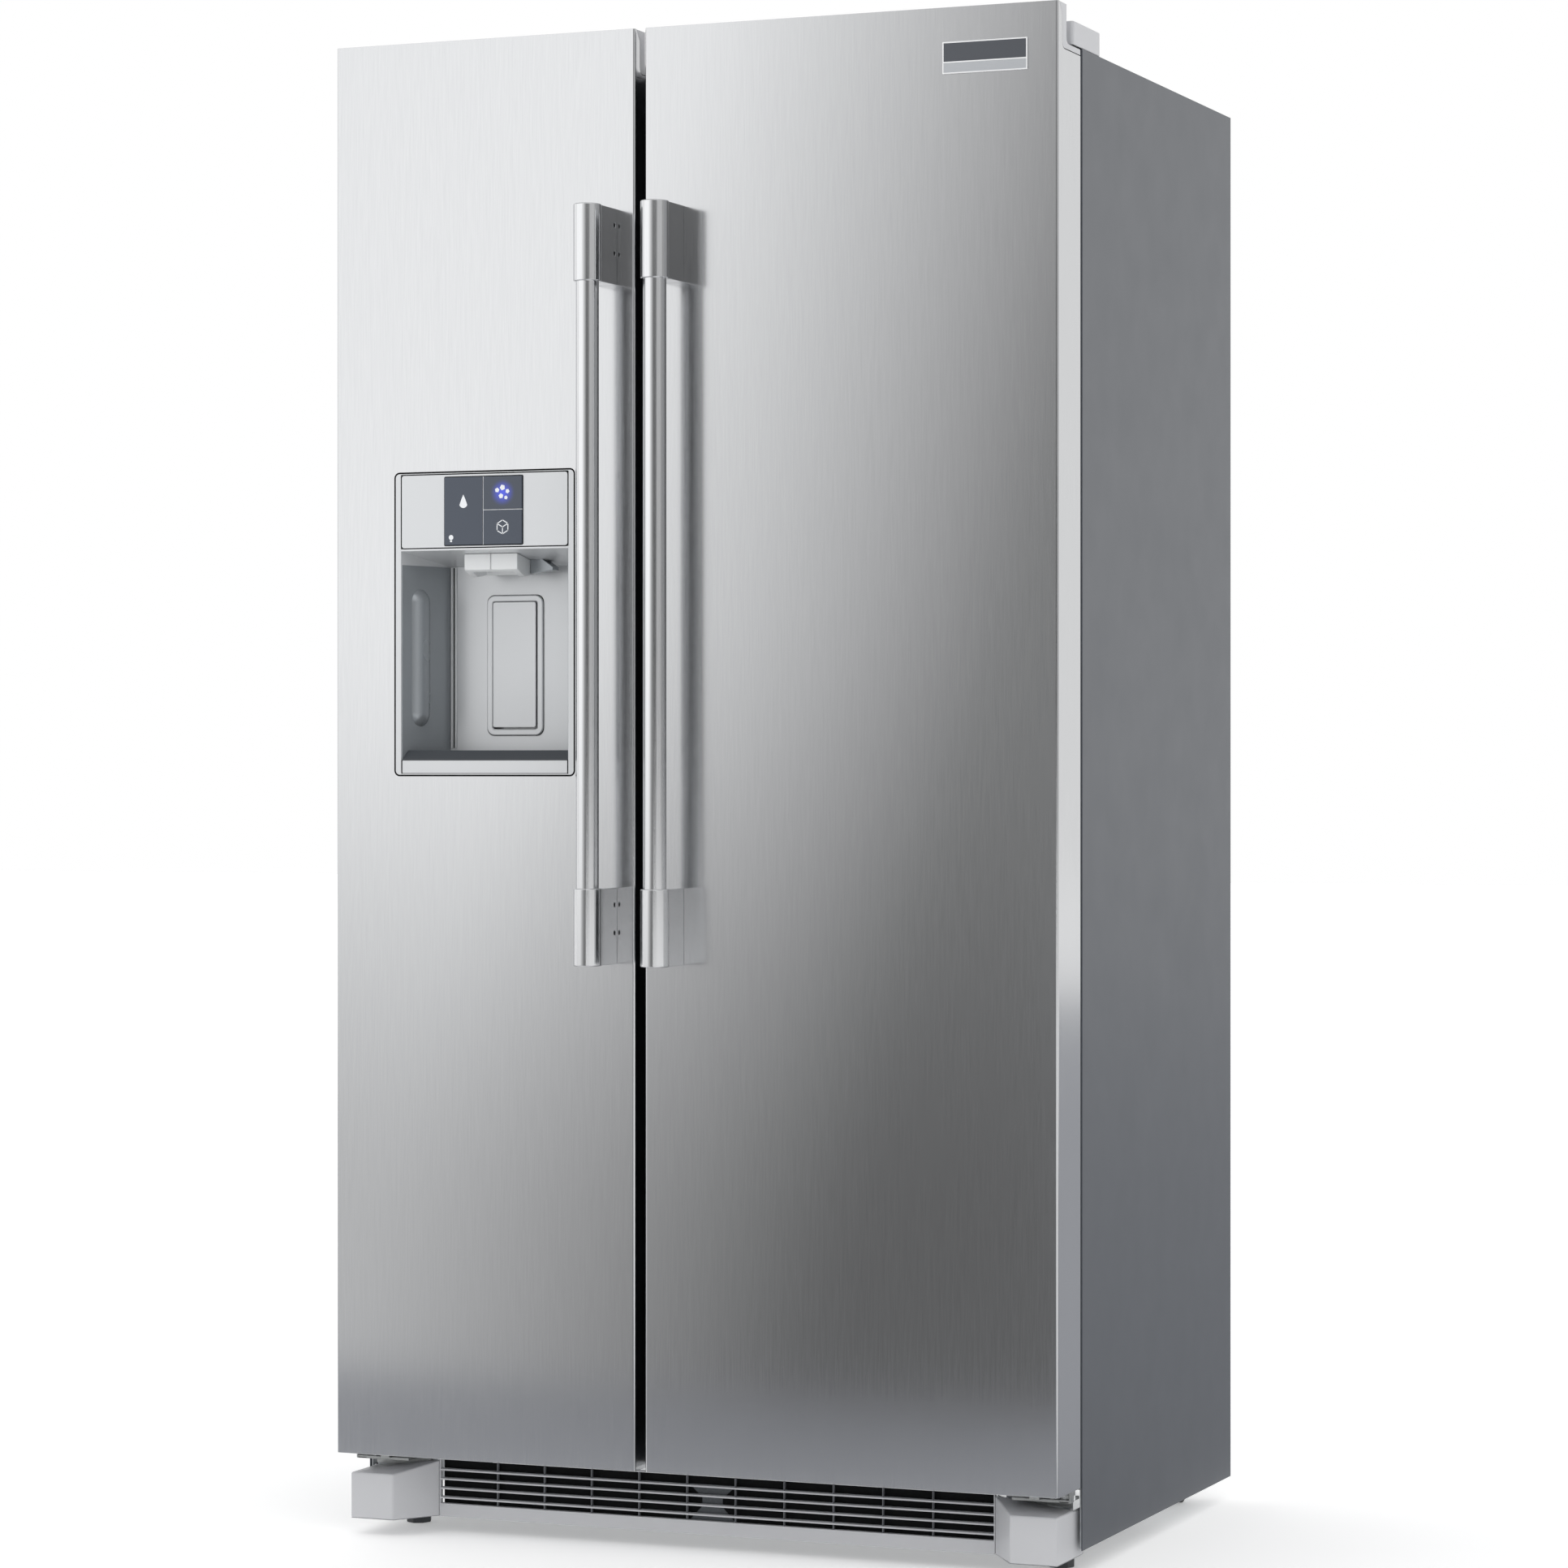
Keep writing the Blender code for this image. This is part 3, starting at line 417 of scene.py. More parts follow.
# Soft vinyl and rubber are dull; enamel on the compressor is black and glossy.
gasket_vinyl = moulded("soft_grey_vinyl", "#5b5c5e", 0.55)
roller_rubber = moulded("black_rubber", "#1b1b1c", 0.7, 0.6 * MM, 0.05 * MM)
compressor_enamel = moulded("black_enamel", "#141416", 0.28, 2 * MM, 0.03 * MM)
# The inside of a joint sends back almost nothing, so its black has hardly any gloss. The same black makes
# the sheet behind the grille, which is painted shade.
joint_and_shade_black = moulded("shadow_gap_black", "#121314", 0.8, Specular_IOR_Level=0.1)
line_white = moulded("printed_white_ink", "#eef1f4", 0.4)
# The drip tray is a dark matt moulding. The grille's ribs are a darker grey, which is painted shade where
# they stand back behind the slats.
tray_slate = moulded("drip_tray_slate", "#3d4146", 0.38, 0.5 * MM, 0.015 * MM)
rib_abs = moulded("shaded_rib_abs", "#6e7074", 0.5)
print("mouldings ready")


# %% Metals behind the panels
def zinc_coated(name, colour, other, cell, roughness):
    """Zinc on steel: crystals that each reflect a little differently."""
    material, tree, shader = new_finish(name, colour, roughness, 0.9)
    crystals = pattern(tree, "TexVoronoi", cell)
    tinted(tree, shader, crystals.outputs["Color"], colour, other)
    varied(tree, shader, "Roughness", crystals.outputs["Color"], roughness - 0.08, roughness + 0.1)
    return material


# Hot-dip zinc shows crystals; plated zinc is a finer, duller grey; drawn copper is warm and smooth.
galvanised = zinc_coated("galvanised_steel", "#a9adb0", "#c3c6c8", 10 * MM, 0.40)
dark_zinc = zinc_coated("black_zinc_plate", "#4c4f52", "#5b5e61", 1.5 * MM, 0.45)
zinc_plate = zinc_coated("zinc_plated_steel", "#9a9c9c", "#aeb0af", 1.5 * MM, 0.35)
copper_tube = zinc_coated("drawn_copper", "#b4775a", "#c98d6d", 3 * MM, 0.32)
# Poured foam is a matt yellow skin over bubbles about 1.5 mm across.
foam, foam_tree, foam_shader = new_finish("polyurethane_foam", "#d9c48e", 0.9)
bubbles = pattern(foam_tree, "TexVoronoi", 1.5 * MM)
bumped(foam_tree, foam_shader, bubbles.outputs["Distance"], 0.3 * MM)
print("metals ready")


# %% Clear plastic, shelf glass and lit parts
def see_through(name, colour, roughness, alpha):
    """Clear stock seen through: mostly alpha, with a bright specular skin."""
    material, tree, shader = new_finish(name, colour, roughness, 0.0, Alpha=alpha, IOR=1.5)
    ripple = pattern(tree, "TexNoise", 40 * MM, {"Detail": 1.0})
    varied(tree, shader, "Roughness", ripple.outputs["Fac"], roughness, roughness + 0.06)
    return material


# Clear drawers look faintly blue, and tempered glass faintly green.
clear_styrene = see_through("clear_polystyrene", "#dfe9ee", 0.08, 0.38)
shelf_glass = see_through("tempered_shelf_glass", "#cfe3dd", 0.03, 0.30)


def backlit(name, colour, light, centre, radius, strength):
    """A key film with a lamp behind it: the glow fades with distance from its centre, in metres."""
    material, tree, shader = new_finish(name, colour, 0.30)
    place = add(tree, "TexCoord")
    settings = {"operation": "DISTANCE", 1: centre}
    away = add(tree, "VectorMath", settings, {0: place.outputs["Object"]})
    fade = ramp(tree, away.outputs["Value"], 0.0, radius, strength, 0.0, smooth=True)
    shader.inputs["Emission Color"].default_value = linear(light)
    tree.links.new(fade, shader.inputs["Emission Strength"])
    return material


key_low, key_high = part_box("crush_key")
key_centre = ((key_low.x + key_high.x) / 2, key_low.y, (key_low.z + key_high.z) / 2)
# The key that is on: a slate film with a small blue lamp behind its icon.
lit_key = backlit("backlit_key_film", "#444b57", "#2f3fe0", key_centre, 17 * MM, 0.9)


def glow(shader, colour, strength):
    shader.inputs["Emission Color"].default_value = linear(colour)
    shader.inputs["Emission Strength"].default_value = strength


# A diffuser with warm white diodes behind it.
lamp_cover, _, lamp_shader = new_finish("led_lamp_diffuser", "#ffffff", 0.3)
glow(lamp_shader, "#fff6e8", 3.0)
print("clear and lit finishes ready")

# %% [markdown]
# ## Geometry Nodes that repeat things
# Slats, grate bars and screws all repeat, and seals and rims follow a rectangle. Two small
# node trees make them. The first sets copies of a piece along a line; the second sweeps a section round
# a rectangle with round corners. Both end in Set Material, and the result is turned to a plain mesh.


# %% A tree for copies along a line
def group(name, sockets):
    """A Geometry Nodes group with named inputs and one geometry output."""
    tree = bpy.data.node_groups.new(name, "GeometryNodeTree")
    tree.interface.new_socket("Geometry", in_out="OUTPUT", socket_type="NodeSocketGeometry")
    for label, kind in sockets:
        tree.interface.new_socket(label, in_out="INPUT", socket_type=kind)
    return tree, add(tree, "NodeGroupInput"), add(tree, "NodeGroupOutput")


def row_tree():
    sockets = [("Piece", "NodeSocketObject"), ("Count", "NodeSocketInt"), ("Step", "NodeSocketVector")]
    sockets.append(("Finish", "NodeSocketMaterial"))
    tree, given, out = group("copies_in_a_row", sockets)
    stock = add(tree, "ObjectInfo", {}, {"Object": given.outputs["Piece"]})
    count, step = given.outputs["Count"], given.outputs["Step"]
    line = add(tree, "MeshLine", {"mode": "OFFSET"}, {"Count": count, "Offset": step})
    links = {"Points": line.outputs["Mesh"], "Instance": stock.outputs["Geometry"]}
    copies = add(tree, "InstanceOnPoints", {}, links)
    solid = add(tree, "RealizeInstances", {}, {0: copies.outputs["Instances"]})
    links = {"Geometry": solid.outputs[0], "Material": given.outputs["Finish"]}
    dressed = add(tree, "SetMaterial", {}, links)
    tree.links.new(dressed.outputs[0], out.inputs[0])
    return tree


def grown_by(tree, values):
    """Runs a tree on an empty mesh with these inputs and returns the plain result."""
    host = bpy.data.objects.new("piece", bpy.data.meshes.new("piece"))
    bpy.context.scene.collection.objects.link(host)
    modifier = host.modifiers.new("Nodes", "NODES")
    modifier.node_group = tree
    for item in tree.interface.items_tree:
        if item.in_out == "INPUT" and item.name in values:
            modifier[item.identifier] = values[item.name]
    return baked(host)


ROW = row_tree()


def row(piece, count, step, finish):
    """Copies of a piece in a row; the first stays where the piece is."""
    result = grown_by(ROW, {"Piece": piece, "Count": count, "Step": step, "Finish": finish})
    bpy.data.objects.remove(piece)
    return result


print("row tree has", len(ROW.nodes), "nodes")


# %% A tree for a section swept round a rectangle
def ring_tree():
    sockets = [("Width", "NodeSocketFloat"), ("Height", "NodeSocketFloat"), ("Corner", "NodeSocketFloat")]
    sockets += [("Section", "NodeSocketObject"), ("Finish", "NodeSocketMaterial")]
    tree, given, out = group("section_round_a_rectangle", sockets)
    sides = {"Width": given.outputs["Width"], "Height": given.outputs["Height"]}
    path = add(tree, "CurvePrimitiveQuadrilateral", {"mode": "RECTANGLE"}, sides)
    links = {"Curve": path.outputs["Curve"], "Radius": given.outputs["Corner"]}
    settings = {"mode": "POLY", "Count": 6, "Limit Radius": True}
    bent = add(tree, "FilletCurve", settings, links)
    upright = add(tree, "SetCurveNormal", {"mode": "Z_UP"}, {"Curve": bent.outputs["Curve"]})
    section = add(tree, "ObjectInfo", {}, {"Object": given.outputs["Section"]})
    links = {"Curve": upright.outputs["Curve"], "Profile Curve": section.outputs["Geometry"]}
    swept = add(tree, "CurveToMesh", {}, links)
    links = {"Geometry": swept.outputs["Mesh"], "Material": given.outputs["Finish"]}
    dressed = add(tree, "SetMaterial", {}, links)
    tree.links.new(dressed.outputs[0], out.inputs[0])
    return tree


RING = ring_tree()


def section_curve(outline):
    """A closed poly curve: across is outwards from the path, up is along the ring's own axis."""
    curve = bpy.data.curves.new("section", "CURVE")
    curve.dimensions = "3D"
    spline = curve.splines.new("POLY")
    spline.points.add(len(outline) - 1)
    for point, (across, up) in zip(spline.points, outline):
        point.co = (across, -up, 0, 1)
    spline.use_cyclic_u = True
    thing = bpy.data.objects.new("section", curve)
    bpy.context.scene.collection.objects.link(thing)
    return thing


def ring(x, z, corner, outline, y, finish):
    """A section round a rectangle in X and Z: across grows outwards, up grows towards the front."""
    section = section_curve(outline)
    values = {"Width": x[1] - x[0], "Height": z[1] - z[0], "Corner": corner, "Section": section}
    result = grown_by(RING, {**values, "Finish": finish})
    result.data.transform(Matrix.Rotation(math.radians(90), 4, "X"))
    result.data.transform(Matrix.Translation((middle(x), y, middle(z))))
    bpy.data.objects.remove(section)
    builder = bmesh.new()
    builder.from_mesh(result.data)
    bpy.data.objects.remove(result)
    return from_builder(builder, outwards=True)


print("ring tree has", len(RING.nodes), "nodes")

# %% [markdown]
# ## The doors' steel
# Each door front is one sheet, folded back along both sides with a 3 mm radius. Above the cabinet's
# top the side return steps forward to a narrow lip with a round inner corner, and a moulded cap fills
# the step. Cutting the step from an extrusion keeps the sheet the same thickness all round.

# %% Door skins
SHEET, FOLD = 1.2 * MM, 3.0 * MM
LIP = 14 * MM
STEP_Z = 1.7370
SIDES = (-0.5, 0.5)
OUTLET_CORNER = 6 * MM
DOORS = {"freezer": -1, "fridge": 1}
outlet_x, outlet_y, outlet_z = reach("dispenser_housing")


def folded(x, y, radius):
    """A U-shaped outline seen from above: open ends at the back, folds at the front."""
    outline = [(x[1], y[1]), (x[0], y[1])]
    outline += arc((x[0] + radius, y[0] + radius), radius, 180, 270, 8)
    return outline + arc((x[1] - radius, y[0] + radius), radius, 270, 360, 8)


def step_outline(face, top, back, gap=0.0):
    """The step at the top of a door's side, as (y, z) points."""
    front, low, radius = face + LIP + gap, STEP_Z + gap, 9 * MM - gap
    outline = [(front - 9 * MM, top + 0.1), (front - 9 * MM, top - 1 * MM), (front, top - 13 * MM)]
    outline += arc((front + radius, low + radius), radius, 180, 270, 8)
    return outline + [(back, low), (back, top + 0.1)]


def door_skin(door):
    x, y, z = reach(door + "_door_skin")
    skin = prism(folded(x, y, FOLD), "Z", *z)
    inside = folded(grown(x, -SHEET), (y[0] + SHEET, y[1] + 0.01), FOLD - SHEET)
    cut(skin, prism(inside, "Z", 0, 2), prism(step_outline(y[0], z[1], 0.0), "X", *SIDES))
    if door == "freezer":
        window_x, window_z = grown(outlet_x, 0.3 * MM), grown(outlet_z, 0.3 * MM)
        cut(skin, plate(window_x, around(y[0], 0.01), window_z, OUTLET_CORNER))
    return hand_over(softened(skin, 0.35 * MM), door + "_door_steel", door_steel, door + "_door_skin")


for door in DOORS:
    print(door, "skin", len(door_skin(door).data.polygons), "faces")

# %% [markdown]
# ## Inner doors and their caps
# Behind the steel is one foamed slab with a vacuum-formed white liner. A grey moulded cap closes its
# top: a riser behind the steel front, and behind that a low shelf with the hinge pin's hole. A
# matching strip closes the bottom.

# %% Inner doors, top caps and bottom caps
RISER_BACK = 30 * MM
SHELF_Z = 1.7445
PIN_X, PIN_Y = 0.4465, -0.2405


def pin_hole(door, z):
    return rod("Z", (DOORS[door] * PIN_X, PIN_Y), 5.6 * MM, *z, 32)


def inner_door(door):
    node = door + "_door_liner"
    core = copy_of(node)
    foot = reach(node)[2][0] + 12 * MM
    cut(core, block(SIDES, (-0.5, 0.0), (STEP_Z - 0.5 * MM, 2)), block(SIDES, (-0.5, 0.0), (0, foot)))
    return hand_over(softened(core, 1.3 * MM, 3), door + "_inner_door", white_hips, node)


def cap_outline(front, back, top):
    """(y, z) points of a top cap: riser, round inner corner and shelf."""
    riser, radius = front + RISER_BACK - 1.5 * MM, 7 * MM
    outline = [(front, top), (front, STEP_Z), (back, STEP_Z), (back, SHELF_Z)]
    return outline + arc((riser + radius, SHELF_Z + radius), radius, 270, 180, 6) + [(riser, top)]


def door_caps(door):
    x, y, z = reach(door + "_door_skin")
    inner, front = grown(x, -1.5 * MM), y[0] + 1.5 * MM
    profile = cap_outline(front, y[1], z[1] - 0.3 * MM)
    flush = prism(profile, "X", *grown(x, -0.2 * MM))
    combine(flush, [prism(step_outline(y[0], z[1], 0.1, 1.0 * MM), "X", *SIDES)], "INTERSECT")
    line = prism(step_outline(y[0], z[1], 0.1, -0.1 * MM), "X", *grown(x, -0.5 * MM))
    cut(line, prism(step_outline(y[0], z[1], 0.1, 1.2 * MM), "X", *SIDES))
    combine(line, [block(SIDES, (front, y[1] - 0.5 * MM), (1.7, z[1] - 0.4 * MM))], "INTERSECT")
    trim(line, door + "_door_cap_seam", joint_and_shade_black, door + "_door_liner")
    cap = fuse(prism(profile, "X", *inner), flush)
    cut(cap, pin_hole(door, (STEP_Z - 0.01, 2)))
    trim(softened(cap, 0.4 * MM), door + "_door_top_cap", grey_abs, door + "_door_liner")
    foot = block(inner, (front, y[1]), (z[0] + 0.1 * MM, z[0] + 11.5 * MM))
    cut(foot, pin_hole(door, (0, 1)))
    trim(softened(foot, 0.6 * MM), door + "_door_bottom_cap", grey_abs, door + "_door_liner")


for door in DOORS:
    inner_door(door)
    door_caps(door)
print("inner doors and caps ready")

# %% [markdown]
# ## Gaskets
# The seal is a soft vinyl extrusion welded at its corners: a magnet pocket in front and a thin bellows
# behind it. The bellows shows as two grooves all the way round.

# %% Door gaskets
BELLOWS = [(7, 0), (7, 1.6), (5.4, 2.4), (7, 3.2), (5.4, 4.2), (6.4, 5.2), (6.4, 6.4)]


def gasket(door):
    node = door + "_door_gasket"
    x, y, z = reach(node)
    half = [(a * MM, b * MM) for a, b in BELLOWS]
    outline = half + [(-a, b) for a, b in reversed(half)]
    seal = ring(grown(x, -7 * MM), grown(z, -7 * MM), 6 * MM, outline, y[1], gasket_vinyl)
    return hand_over(shaded(seal), door + "_gasket_bellows", gasket_vinyl, node)


for door in DOORS:
    print(gasket(door).name)

# %% [markdown]
# ## Handles
# A polished tube 27 mm across runs between two thicker sleeves. Each sleeve stands on a bracket that
# is fixed to the door by two set screws, reached from the side that faces the other door.

# %% Handles
SLEEVE_RADIUS, SLEEVE_RIM = 16.5 * MM, 1.2 * MM
SET_SCREW_DROPS = (20 * MM, 53 * MM)


def sleeve(door, end):
    node = "%s_handle_mount_%s" % (door, end)
    x, y, z = reach(node)
    wide, rim = SLEEVE_RADIUS, SLEEVE_RIM
    centre = (middle(x), y[0] + wide)
    profile = [(0.2 * MM, z[0]), (wide - rim, z[0]), (wide - rim * 0.3, z[0] + rim * 0.3)]
    profile += [(wide, z[0] + rim), (wide, z[1] - rim), (wide - rim * 0.3, z[1] - rim * 0.3)]
    profile += [(wide - rim, z[1]), (0.2 * MM, z[1])]
    cap = turned(profile, centre, 64)
    foot = block(grown((centre[0], centre[0]), 13.5 * MM), (centre[1], y[1]), grown(z, -0.4 * MM))
    inward = -DOORS[door]
    places = [(y[1] - 6.3 * MM, z[1] - drop) for drop in SET_SCREW_DROPS]
    deep = sorted((centre[0] + inward * 11.0 * MM, centre[0] + inward * 15 * MM))
    wells = [rod("X", at, 2.7 * MM, *deep, 24) for at in places]
    mount = softened(cut(fuse(cap, foot), *wells), 0.5 * MM, 2, 35)
    hand_over(mount, node + "_finished", handle_steel, node)
    span = sorted((centre[0] + inward * 11.2 * MM, centre[0] + inward * 12.2 * MM))
    for i, at in enumerate(places):
        socket = rod("X", at, 1.2 * MM, *grown(span, 1 * MM), 6)
        head = cut(rod("X", at, 2.5 * MM, *span, 24), socket)
        trim(shaded(head), "%s_set_screw_%d" % (node, i), joint_and_shade_black, node)


def handle_bar(door):
    node = door + "_handle_bar"
    x, y, z = reach(node)
    tube = rod("Z", (middle(x), middle(y)), (x[1] - x[0]) / 2, z[0] - 1 * MM, z[1] + 1 * MM, 96)
    return hand_over(shaded(tube), node + "_finished", handle_steel, node)


for door in DOORS:
    handle_bar(door)
    sleeve(door, "top")
    sleeve(door, "bottom")
print("handles ready")

# %% [markdown]
# ## The badge
# The badge is left blank here: a bright bordered plate, dark above and light below, without words.

# %% Badge plate
badge_bright = moulded("badge_bright_border", "#f2f3f4", 0.25, 0.4 * MM, 0.002 * MM, 0.25)
badge_dark = moulded("badge_graphite", "#53565c", 0.3, 0.4 * MM, 0.005 * MM, 0.2)
badge_light = moulded("badge_satin", "#b9bcc0", 0.32, 0.4 * MM, 0.005 * MM, 0.3)


def badge():
    x, y, z = reach("badge_plate")
    back = plate(x, (y[0] + 0.5 * MM, y[1]), z, 0.8 * MM, 3)
    border, bar = 1.5 * MM, 1.5 * MM
    split = z[0] + 0.36 * (z[1] - z[0])
    upper = (split + bar / 2, z[1] - border)
    lower = (z[0] + border, split - bar / 2)
    inner = grown(x, -border)
    holes = [plate(inner, (-1, 1), part, 0.4 * MM, 3) for part in (upper, lower)]
    rim = cut(plate(x, (y[0], y[0] + 0.6 * MM), z, 0.8 * MM, 3), *holes)
    hand_over(softened(rim, 0.15 * MM), "badge_bright_border", badge_bright, "badge_plate")
    trim(softened(back, 0.2 * MM), "badge_back_plate", badge_bright, "badge_plate")
    for name, part, finish in (("dark", upper, badge_dark), ("light", lower, badge_light)):
        field = plate(inner, (y[0] + 0.35 * MM, y[0] + 0.55 * MM), part, 0.4 * MM, 3)
        trim(field, "badge_%s_field" % name, finish, "badge_plate")
    return split


print("badge split at", round(badge(), 4))

# %% [markdown]
# ## The ice and water dispenser
# The dispenser is a moulded silver housing let into the steel. Its well narrows towards the back. A
# dark line, the moulding's own shadow gap, runs round it. The two side walls of the well are lined in
# a darker grey, which is painted shade, with a round bulge along the left one.

# %% Housing and well
RAIL = 7.8 * MM
WELL_BACK = -0.2175
CENTRE_X = middle(outlet_x)
BACK_HALF = 88 * MM
RECESS_HALF, RECESS_Z = 37.3 * MM, (0.963, 1.132)
WELL_TOP, WELL_TOP_BACK = 1.183, 1.167
RECESS_BACK = outlet_y[1] - 2 * MM


def about(half):
    return around(CENTRE_X, half)


def rect_ring(x, z, y):
    return [(x[0], y, z[0]), (x[1], y, z[0]), (x[1], y, z[1]), (x[0], y, z[1])]


def housing():
    face, floor = outlet_y[0], outlet_z[0] + 2.2 * MM
    shell = plate(outlet_x, (face, WELL_BACK + 2 * MM), outlet_z, OUTLET_CORNER, 8)
    back_box = block(about(40 * MM), (WELL_BACK, outlet_y[1]), (0.957, 1.138))
    mouth = grown(outlet_x, -RAIL)
    well = loft(
        [
            rect_ring(mouth, (floor, WELL_TOP), face - 1 * MM),
            rect_ring(about(BACK_HALF), (floor, WELL_TOP_BACK), WELL_BACK),
        ]
    )
    fascia_room = block(mouth, (face - 0.01, -0.2800), (1.1853, outlet_z[1] - 2 * MM))
    recess = plate(about(RECESS_HALF), (-0.23, RECESS_BACK), RECESS_Z, 10 * MM)
    shell = cut(fuse(shell, back_box), well, fascia_room, recess)
    return hand_over(softened(shell, 0.5 * MM), "dispenser_surround", silver_abs, "dispenser_housing")


def outlet_gap():
    """The dark seam between the housing and the steel."""
    half, height = 1.0 * MM, 1.04 * MM
    outline = [(half, 0), (half, height), (-half, height), (-half, 0)]
    seam = ring(outlet_x, outlet_z, OUTLET_CORNER, outline, outlet_y[0] + 1.0 * MM, joint_and_shade_black)
    return trim(seam, "dispenser_seam", joint_and_shade_black, "dispenser_housing")


def seam_round(x, z, corner, name):
    """A fine dark parting line round a panel on the dispenser's face."""
    half, proud = 0.65 * MM, 0.03 * MM
    outline = [(half, 0), (half, half + proud), (-half, half + proud), (-half, 0)]
    line = ring(x, z, corner, outline, outlet_y[0] + half, joint_and_shade_black)
    return trim(line, name, joint_and_shade_black, "dispenser_fascia")


housing()
outlet_gap()
print("dispenser housing at", [round(v, 3) for v in outlet_x + outlet_z])


# %% [markdown]
# ### Inside the well
# Thin linings, one on each side, are extruded from a plan and follow the narrowing well. A turned solid let
# into the left one makes its swelling, and the ring tree sweeps the rim round the paddle.

# %% Side walls in painted shade, the bulge and the paddle's rim
def side_wall(side):
    """A thin lining on one side wall of the well, from lip to back, in a darker grey that is painted shade.
    """
    floor, front = outlet_z[0] + 2.4 * MM, outlet_y[0] + 1.5 * MM
    mouth = (outlet_x[1] - outlet_x[0]) / 2 - RAIL
    slope = (mouth - BACK_HALF) / (WELL_BACK - outlet_y[0])
    inset = 1.5 * MM * slope
    near, far = mouth - inset, BACK_HALF
    plan = [(near, front), (far, WELL_BACK - 0.1 * MM), (far - 1 * MM, WELL_BACK - 0.1 * MM)]
    plan.append((near - 0.8 * MM, front))
    wall = prism([(CENTRE_X + side * a, b) for a, b in plan], "Z", floor, WELL_TOP_BACK - 0.5 * MM)
    name = "well_wall_%s" % ("left" if side < 0 else "right")
    trim(softened(wall, 0.2 * MM), name, well_shade_abs, "dispenser_housing")


def bulge():
    """A moulded swelling with round ends, let into the well's left wall."""
    radius, low, high = 20 * MM, 0.970, 1.142
    turns = [math.radians(degrees) for degrees in range(6, 91, 7)]
    ends = [(radius * math.sin(t), radius * (1 - math.cos(t))) for t in turns]
    profile = [(r, low + h) for r, h in ends] + [(r, high - h) for r, h in reversed(ends)]
    swelling = turned(profile, (CENTRE_X - 112 * MM, -0.268), 96)
    kept = block((CENTRE_X - 115 * MM, CENTRE_X), (-0.5, 0.0), (0.9, 1.2))
    combine(swelling, [kept], "INTERSECT")
    # The swelling shares the well lining's darker grey, which is painted shade.
    return trim(shaded(swelling), "well_rib", well_shade_abs, "dispenser_housing")


def corner_beads():
    """Two fine beads where the left wall meets the back of the well."""
    edge, tall = CENTRE_X - BACK_HALF, (0.948, 1.166)
    bead = rod("Z", (edge + 3.0 * MM, WELL_BACK - 0.9 * MM), 1.3 * MM, *tall, 20)
    beads = row(bead, 2, (5.5 * MM, 0, 0), silver_abs)
    trim(shaded(beads), "well_corner_beads", silver_abs, "dispenser_housing")
    groove = block(around(edge, 0.6 * MM), around(WELL_BACK, 0.4 * MM), tall)
    grooves = row(groove, 2, (5.7 * MM, 0, 0), joint_and_shade_black)
    return trim(grooves, "well_corner_grooves", joint_and_shade_black, "dispenser_housing")


def paddle_rim():
    """The raised rim that fills the recess round the paddle."""
    inner, outer = 29.4 * MM, RECESS_HALF - 0.1 * MM
    half = (outer - inner) / 2
    section = [(half, -3 * MM), (half, 1.5 * MM), (half - 1.2 * MM, 2.6 * MM)]
    section += [(1.2 * MM - half, 2.6 * MM), (-half, 1.5 * MM), (-half, -3 * MM)]
    span, height = grown(about(outer), -half), grown(RECESS_Z, -0.1 * MM - half)
    rim = ring(span, height, 6 * MM, section, WELL_BACK, silver_abs)
    trim(shaded(rim), "paddle_rim", silver_abs, "dispenser_housing")
    seam = [(0.5 * MM, -1 * MM), (0.5 * MM, 0.4 * MM), (-0.5 * MM, 0.4 * MM), (-0.5 * MM, -1 * MM)]
    line = ring(grown(span, half), grown(height, half), 9 * MM, seam, WELL_BACK, joint_and_shade_black)
    return trim(line, "paddle_rim_seam", joint_and_shade_black, "dispenser_housing")


side_wall(-1)
side_wall(1)
bulge()
corner_beads()
paddle_rim()
print("well walls and paddle rim ready")

# %% [markdown]
# ## The control panel and its keys
# The panel above the well carries three slate keys. Their words are replaced with plain icons, drawn
# as thin printed shapes: a drop, a lamp, ice chips and a cube.


# %% Fascia, keys and their icons
def fascia():
    x, y, z = reach("dispenser_fascia")
    window_x, window_z = (-0.3125, -0.2095), (1.1885, 1.2700)
    panel = cut(plate(x, y, z, 3.5 * MM, 5), plate(window_x, (-1, 1), window_z, 1.2 * MM, 5))
    hand_over(softened(panel, 0.4 * MM), "dispenser_panel", silver_abs, "dispenser_fascia")
    seam_round(window_x, window_z, 1.2 * MM, "key_seam")
    seam_round(x, z, 3.5 * MM, "panel_seam")


def key(node, finish):
    x, y, z = reach(node)
    return hand_over(softened(plate(x, y, z, 0.9 * MM, 4), 0.5 * MM, 3), node + "_cap", finish, node)


def printed(outline, node, name, finish):
    """Ink on a key: a flat shape 0.1 mm proud of the key's face."""
    face = reach(node)[1][0]
    return trim(prism(outline, "Y", face - 0.1 * MM, face + 0.2 * MM), name, finish, node)


def drop(centre, size):
    """A water drop: a round bottom drawn up to a point."""
    across, up = centre
    bottom = arc(centre, size, 200, 340, 16)
    tip = [(0.45, 0.95), (0.0, 1.9), (-0.45, 0.95)]
    return bottom + [(across + size * a, up + size * b) for a, b in tip]


